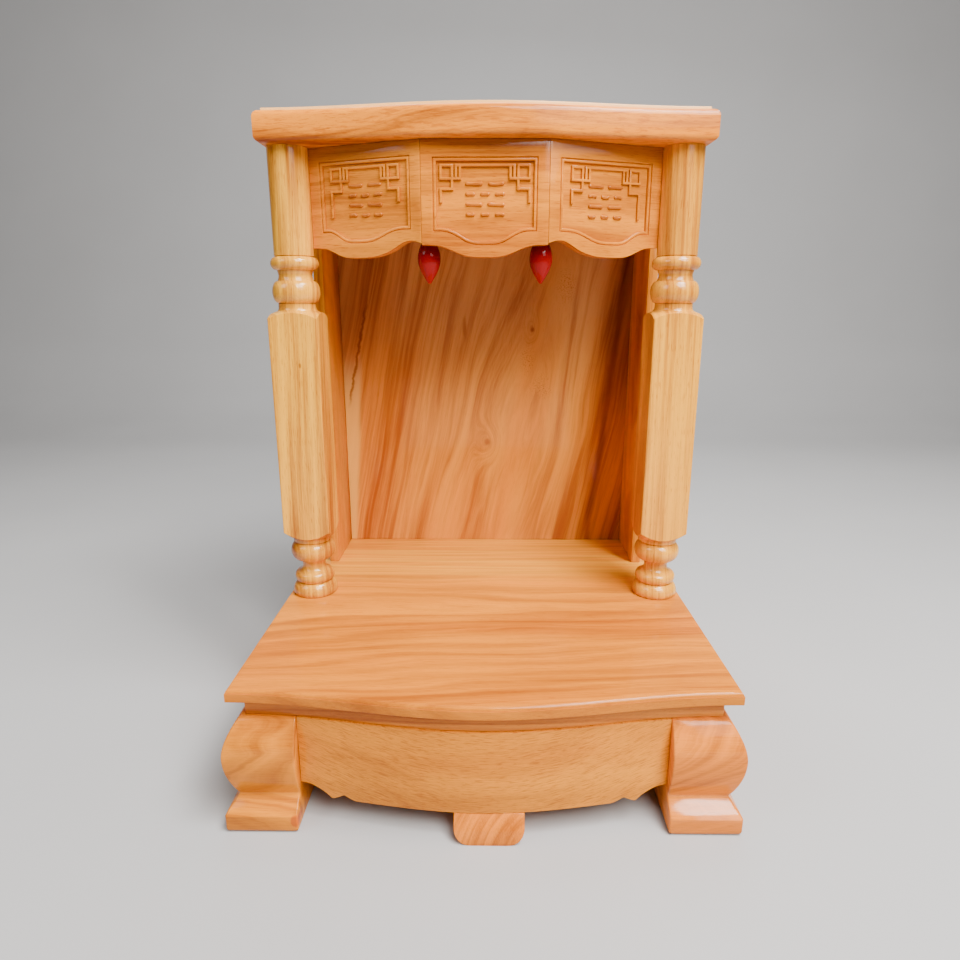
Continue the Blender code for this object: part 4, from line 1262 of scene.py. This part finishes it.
# %% Feet and the tongue
foot_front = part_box("foot_front_left")[0]
TOE_PATCH = (-0.1805, foot_front.y, 0.013)
TOE_PATCH_SPREAD = (0.0050, 0.02, 0.0070)
DUST = (0.46, 0.30, 0.17, 1)
RED_PATCH = (0.72, 0.34, 0.30, 1)


def near(paint, place, centre, spread):
    """One at a centre, falling off to nothing a few spreads away."""
    total = None
    for value, middle, width in zip(paint.parts(place), centre, spread):
        part = ((value - middle) / width) ** 2
        total = part if total is None else total + part
    return (total * -1).exp()


def worn_toe(paint, place, colour):
    """Dust along the floor, and the left toe's reddish patch."""
    z = paint.parts(place)[2]
    ragged = paint.noise(place, 420.0, 3.0, 0.7)
    low = 1 - paint.soft(z + ragged * 0.006, 0.0030, 0.0058)
    colour = paint.fade(low * 0.75, colour, DUST)
    patch = near(paint, place, TOE_PATCH, TOE_PATCH_SPREAD)
    share = paint.soft(patch + (ragged - 0.5) * 0.3, 0.25, 0.6)
    return paint.tint(share * 0.8, colour, RED_PATCH)


def glossy_toe(paint, place, colour):
    """The slope of the right foot's toe has kept the thickest varnish."""
    height = paint.parts(place)[2]
    slope = paint.soft(height, 0.014, 0.019) * (1 - paint.soft(height, 0.034, 0.044))
    paint.feed("Coat Weight", slope * 0.6 + VARNISH["Coat Weight"])
    return worn_toe(paint, place, colour)


foot_wood_left = wood(
    "foot_wood_left", "X", (-0.10, 0.07), lean=(-0.2, 0.1), ring=0.0120, wander=0.030, figure=0.6,
    rings=0.25, streaks=0.3, seed=7.7, chatter=2.2, marks=worn_toe)
foot_wood_right = wood(
    "foot_wood_right", "X", (-0.10, -0.25), lean=(0.2, 0.85), ring=0.0120, wander=0.022, figure=0.7,
    rings=0.22, streaks=0.4, seed=9.9, chatter=2.2, light=ROSE, marks=glossy_toe)
tongue_wood = wood(
    "tongue_wood", "Z", (0.06, -0.30), lean=(0.16, 0.0), ring=0.0065, wander=0.006, figure=0.6, streaks=0.5,
    seed=3.7, light=ROSE)
dress(foot_wood_left, feet["foot_front_left"], feet["foot_back_left"])
dress(foot_wood_right, feet["foot_front_right"], feet["foot_back_right"])
dress(tongue_wood, feet["centre_foot"])

# %% [markdown]
# Columns are turned from straight-grained wood, because it doesn't tear on the lathe. Theirs is the
# palest of the whole cabinet, with one pin knot. The lathe also leaves its beads smoother than a plane
# leaves the post, so they shine more under the same varnish.

# %% Columns
KNOT_PLACE = (-0.2045, 0.4272)
KNOT_SPREAD = (0.0016, 0.006, 0.0030)
KNOT_BROWN = (0.42, 0.24, 0.16, 1)
BEADS_LOW = (column_low.z + 0.070, column_low.z + 0.078)
BEADS_HIGH = (column_low.z + 0.333, column_low.z + 0.340)


def polished_beads(paint, place, colour):
    """The turned parts' varnish shines more than the post's."""
    height = paint.parts(place)[2]
    turned_part = 1 - paint.soft(height, *BEADS_LOW)
    turned_part = turned_part + paint.soft(height, *BEADS_HIGH)
    paint.feed("Coat Weight", turned_part * 0.55 + VARNISH["Coat Weight"])
    return colour


def left_column_marks(paint, place, colour):
    """The shine, and the pin knot on the left column's post."""
    eye = near(paint, place, (KNOT_PLACE[0], column_low.y, KNOT_PLACE[1]), KNOT_SPREAD)
    colour = paint.tint(paint.soft(eye, 0.15, 0.8) * 0.8, colour, KNOT_BROWN)
    return polished_beads(paint, place, colour)


column_wood_left = wood(
    "column_wood_left", "Z", (-0.36, -0.08), lean=(0.03, 0.0), ring=0.0080, wander=0.005, figure=0.5,
    rings=0.08, streaks=0.8, pores=0.7, drift=0.5, seed=1.4, light=(1.0, 0.46, 0.024, 1),
    marks=left_column_marks)
column_wood_right = wood(
    "column_wood_right", "Z", (0.40, -0.02), lean=(-0.02, 0.0), ring=0.0090, wander=0.006, figure=0.45,
    rings=0.08, streaks=0.7, pores=0.7, drift=0.5, seed=4.6, light=BLOND, marks=polished_beads)
dress(column_wood_left, columns["column_left"])
dress(column_wood_right, columns["column_right"])

# %% [markdown]
# Shade in the carving's hollows is what lets the eye read it, so it is painted into the colour. The groove
# and the foot of the relief could be found by hand for each board. It is easier to ask how deep a point
# lies below the board's own face. A band under the top board gets its painted shadow as well.

# %% The fascia boards
RECESS_SHADE = (0.50, 0.31, 0.16, 1)
TOP_BOARD_SHADOW = (0.44, 0.40, 0.50, 1)


def painted_recess_shade(hand):
    """Painted shade on the sides of the carving, by depth below a board's own face, and the top board's
    painted shadow.
    """
    low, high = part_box("fascia_center")
    turned = Matrix.Rotation(hand * WING_TURN, 3, "Z") @ Vector((0, 1, 0))
    start = turned.dot(Vector((hand * FASCIA_WIDTH / 2, low.y, 0)))

    def add(paint, place, colour):
        x, y, z = paint.parts(place)
        deep = x * turned.x + y * turned.y - start
        # painted shade in the groove and at the foot of the relief
        groove = paint.soft(deep, 0.0006, 0.0012) * (1 - paint.soft(deep, 0.0014, 0.0018))
        foot = paint.soft(deep, GROUND - 0.0016, GROUND - 0.0007)
        foot = foot * (1 - paint.soft(deep, GROUND - 0.0002, GROUND - 0.00005))
        # painted shadow of the top board along the board's upper edge
        under_top_shadow = paint.soft(z, high.z - 0.022, high.z - 0.005)
        colour = paint.tint(under_top_shadow * 0.8, colour, TOP_BOARD_SHADOW)
        return paint.tint(groove * 0.5 + foot * 0.8, colour, RECESS_SHADE)
    return add


for hand, side in ((-1, "left"), (0, "center"), (1, "right")):
    fascia_wood = wood(
        "fascia_wood_" + side, "X", (0.16, 0.50 + 0.04 * hand),
        slant=(hand * math.tan(WING_TURN), 0.0), lean=(0.02, 0.03), ring=0.0060,
        wander=0.005, figure=0.3, rings=0.05, streaks=0.7, pores=0.7, seed=6.1 + 3.3 * hand,
        light=(0.84, 0.27, 0.012, 1) if hand < 0 else HONEY, marks=painted_recess_shade(hand))
    dress(fascia_wood, fascia["fascia_" + side])

# %% [markdown]
# The niche is lined with a wide board that shows everything a tree can do: grain that leans, small
# knots round which it bends, speckled burr, a dark reddish band by the right edge, and a strip of pale
# sapwood on the left behind a ragged line of ingrown bark. Knots are bumps added to the distance from
# the log's heart.

# %% Knots, burr, the dark band and the sapwood
back_low, back_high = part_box("back_panel")
KNOTS = ((0.003, 0.298, 0.016, 0.024, 0.016), (0.066, 0.458, 0.010, 0.018, 0.012))
BURRS = ((0.112, 0.517, 0.016, 0.026), (0.080, 0.378, 0.018, 0.020), (0.060, 0.415, 0.012, 0.022))
PANEL_DEEP = 0.1      # marks reach right through the panel
BURR_LINE = (-0.029, back_low.y, 0.460)
EYE_BROWN = (0.50, 0.28, 0.20, 1)
BURR_BROWN = (0.55, 0.40, 0.32, 1)
LINE_BROWN = (0.50, 0.32, 0.24, 1)
BAND_BROWN = (0.46, 0.24, 0.14, 1)
EDGE_BROWN_AND_SHADE = (0.55, 0.34, 0.20, 1)
BARK_BROWN = (0.36, 0.20, 0.12, 1)
SAPWOOD = (0.96, 0.56, 0.10, 1)
UPPER_PAINTED_SHADE = (0.32, 0.54, 3.4, 1)


def bend_round_knots(paint, place):
    """Push the rings aside round each knot."""
    total = None
    for x, z, wide, tall, push in KNOTS:
        part = near(paint, place, (x, back_low.y, z), (wide, PANEL_DEEP, tall)) * push
        total = part if total is None else total + part
    return total


def mark_knots(paint, place, colour, ragged):
    """The knots' eyes, the speckled burr, and one short dark line."""
    speck = paint.soft(paint.noise(place, 520.0, 3.0, 0.7), 0.50, 0.64)
    for across, up, wide, tall, push in KNOTS:
        spread = (wide * 0.36, PANEL_DEEP, wide * 0.42)
        eye = near(paint, place, (across, back_low.y, up), spread)
        colour = paint.tint(paint.soft(eye + ragged * 0.5, 0.25, 0.95) * 0.7, colour, EYE_BROWN)
    for across, up, wide, tall in BURRS:
        cloud = near(paint, place, (across, back_low.y, up), (wide, PANEL_DEEP, tall))
        share = paint.soft(cloud + ragged * 0.8, 0.2, 1.0) * speck
        colour = paint.tint(share * 0.75, colour, BURR_BROWN)
    line = near(paint, place, BURR_LINE, (0.004, PANEL_DEEP, 0.020))
    return paint.tint(paint.soft(line + ragged * 0.4, 0.3, 1.0) * 0.6, colour, LINE_BROWN)


def mark_band(paint, x, z, colour, ragged, slow):
    """The dark band, which leans with the grain, and past it darker wood with the right column's painted
    shadow, deeper towards the top.
    """
    leaned = x - (z - 0.185) * 0.105
    band = abs(leaned - 0.156 - slow * 0.010)
    share = 1 - paint.soft(band + ragged * 0.004, 0.0008, 0.0080)
    colour = paint.tint(share * 0.75, colour, BAND_BROWN)
    # partly darker wood, partly painted shadow of the right column, growing upwards
    beyond = paint.soft(leaned + slow * 0.02, 0.128, 0.160) * (0.35 + paint.soft(z, 0.22, 0.45) * 0.5)
    return paint.tint(beyond, colour, EDGE_BROWN_AND_SHADE)


def mark_sapwood(paint, x, z, colour, ragged, slow):
    """The pale strip on the left, and the ragged line of bark above it."""
    sap = 1 - paint.soft(x + 0.1925 + slow * 0.008 - (z - 0.16) * 0.065, -0.004, 0.004)
    sap = sap * (1 - paint.soft(z, 0.37, 0.44))
    colour = paint.fade(sap * 0.85, colour, SAPWOOD)
    bark = abs(x + 0.1915 - (z - 0.371) * 0.21 + ragged * 0.010)
    reach = paint.soft(z, 0.345, 0.37) * (1 - paint.soft(z, 0.47, 0.52))
    return paint.tint((1 - paint.soft(bark, 0.0004, 0.0034)) * reach * 0.85, colour, BARK_BROWN)


def mark_panel(paint, place, colour):
    """All that the panel shows, and painted cool shade in the niche's upper half."""
    x, _, z = paint.parts(place)
    ragged = paint.noise(paint.vector(x * 60, 0.0, z * 60), 1.0, 4.0, 0.7) - 0.5
    slow = paint.noise(paint.vector(x * 5, 0.0, z * 9), 1.0, 2.0) - 0.5
    colour = mark_knots(paint, place, colour, ragged)
    colour = mark_band(paint, x, z, colour, ragged, slow)
    colour = mark_sapwood(paint, x, z, colour, ragged, slow)
    # painted shade in the niche's upper half, under the top board
    return paint.tint(paint.soft(z, 0.30, 0.50) * 0.5, colour, UPPER_PAINTED_SHADE)


print(len(KNOTS), "knots and", len(BURRS), "patches of burr")

# %% The niche's back and sides
back_wood = wood(
    "back_wood", "Z", (-0.02, back_high.y + 0.10), slant=(0.19, 0.0), lean=(0.02, 0.03), ring=0.0120,
    wander=0.018, figure=0.75, rings=0.08, streaks=0.6, pores=0.2, drift=0.6, seed=12.4,
    light=(0.88, 0.36, 0.035, 1), dark=(0.42, 0.105, 0.010, 1), bend=bend_round_knots, marks=mark_panel)
side_wood = wood(
    "side_wood", "Z", (0.0, 0.12), lean=(0.02, 0.03), ring=0.0090, wander=0.010, figure=0.5, rings=0.1,
    streaks=0.5, drift=0.5, seed=15.8, light=STRAW)
dress(back_wood, boards["back_panel"])
dress(side_wood, boards["side_panel_left"], boards["side_panel_right"])

# %% [markdown]
# The bulbs are coloured plastic with a very glossy skin. A plain red would look like paint, so the
# colour deepens towards the neck, where light can't pass through.

# %% Lamp red and holder ivory
lamp_paint = Paint("lamp_red_gloss", {
    "Specular IOR Level": 0.05, "Coat Weight": 0.3, "Coat Roughness": 0.05, "Coat IOR": 1.5})
LAMP_TIP = (0.36, 0.0006, 0.0015, 1)
LAMP_NECK_RED = (0.17, 0.0006, 0.0015, 1)
IVORY = (0.78, 0.70, 0.54, 1)
OLD_IVORY = (0.66, 0.57, 0.41, 1)
lamp_low, lamp_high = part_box("lamp_left")
place = lamp_paint.own_place()
share = lamp_paint.soft(lamp_paint.parts(place)[2], lamp_low.z, lamp_high.z)
cloud = lamp_paint.noise(place, 120.0)
red = lamp_paint.fade(share * 0.8 + cloud * 0.2, LAMP_TIP, LAMP_NECK_RED)
lamp_paint.feed("Base Color", red)
lamp_paint.feed("Roughness", 0.07 + cloud * 0.08)
dress(lamp_paint, *lamps)

holder_paint = Paint("holder_ivory", {"Roughness": 0.4, "IOR": 1.5})
mottle = holder_paint.noise(holder_paint.own_place(), 300.0)
holder_paint.feed("Base Color", holder_paint.fade(mottle, IVORY, OLD_IVORY))
holder_paint.feed("Roughness", 0.34 + mottle * 0.14)
dress(holder_paint, *holders)

# %% [markdown]
# The cabinet stands on a pale floor that sweeps up behind it, so no corner shows. A sweep is one plane
# whose back edge is drawn up in a few steps, and smooth shading does the rest.

# %% Floor
FLOOR_REACH = 4.0
FLOOR_BACK = 1.7
SWEEP = ((0.25, 0.03), (0.2, 0.10), (0.15, 0.20), (0.08, 0.35), (0.02, 2.6))
FLOOR_DARK = (0.42, 0.41, 0.40, 1)
FLOOR_LIGHT = (0.46, 0.45, 0.44, 1)
clear_choice()
bpy.ops.mesh.primitive_plane_add(size=2 * FLOOR_REACH, location=(0, FLOOR_BACK - FLOOR_REACH, 0))
floor = bpy.context.object
floor.name = "floor"
choose(floor, lambda a, b: min(a.y, b.y) > FLOOR_BACK - CLEAR, "EDGE")
for ahead, up in SWEEP:
    bpy.ops.mesh.extrude_region_move(TRANSFORM_OT_translate={"value": (0, ahead, up)})
done(floor)
smooth(floor, 60)
floor_paint = Paint("pale_floor", {"Roughness": 0.75, "Specular IOR Level": 0.3})
cloudy = floor_paint.noise(floor_paint.own_place(), 3.0, 3.0)
floor_paint.feed("Base Color", floor_paint.fade(cloudy, FLOOR_DARK, FLOOR_LIGHT))
dress(floor_paint, floor)

# %% [markdown]
# Varnish only looks like varnish when something bright is mirrored in it. A small lamp would give hard
# shadows, so the key light on the right is a wide square. A weaker one in front softens its shadows,
# one on the left fills the shaded side, one above lights the board's top, and one behind lights its
# back edge and the floor.

# %% Lights
COOL = (0.97, 0.98, 1.0)
LIGHTS = (
    ("key_light", (0.75, -1.35, 1.95), (0, 0, 0.3), 1.2, 90, (1.0, 0.985, 0.97)),
    ("front_light", (1.2, -2.0, 1.7), (0, 0, 0.35), 1.3, 23, (1.0, 0.99, 0.97)),
    ("left_light", (-1.7, -1.1, 1.7), (0, 0, 0.35), 1.0, 15, COOL),
    ("top_light", (0.80, -0.55, 2.2), (0.1, 0, 0.3), 0.75, 68, COOL),
    ("back_light", (0.1, 1.0, 2.3), (0, 0, 0.4), 1.5, 34, COOL))
AIR_COLOUR = (0.93, 0.96, 1.0, 1)
AIR_STRENGTH = 0.09

for name, stand, aim, size, power, colour in LIGHTS:
    light = bpy.data.lights.new(name, "AREA")
    light.size = size
    light.energy = power
    light.color = colour
    made = bpy.data.objects.new(name, light)
    made.location = stand
    made.rotation_euler = (Vector(aim) - Vector(stand)).to_track_quat("-Z", "Y").to_euler()
    bpy.context.scene.collection.objects.link(made)
    print(name, power, "W")
world = bpy.data.worlds.new("studio_air")
world.use_nodes = True
world.node_tree.nodes["Background"].inputs["Color"].default_value = AIR_COLOUR
world.node_tree.nodes["Background"].inputs["Strength"].default_value = AIR_STRENGTH
bpy.context.scene.world = world

# %% [markdown]
# The camera stands where the photographer stood: close, a little above the middle, and tilted down. A
# longer lens from further off would frame the cabinet as well, but the base board would lose its deep
# perspective.

# %% Camera
CAMERA_PLACE = (0.0023, BASE_CORNER - 0.5552, 0.4951)
CAMERA_TURN = 0.577
CAMERA_TILT = 90 - 14.685
camera_data = bpy.data.cameras.new("camera")
camera_data.sensor_width = 36
camera_data.lens = 25.425
camera = bpy.data.objects.new("camera", camera_data)
bpy.context.scene.collection.objects.link(camera)
camera.matrix_world = (
    Matrix.Translation(CAMERA_PLACE)
    @ Matrix.Rotation(math.radians(CAMERA_TURN), 4, "Z")
    @ Matrix.Rotation(math.radians(CAMERA_TILT), 4, "X"))
bpy.context.scene.camera = camera
print("camera at", [round(v, 3) for v in CAMERA_PLACE])
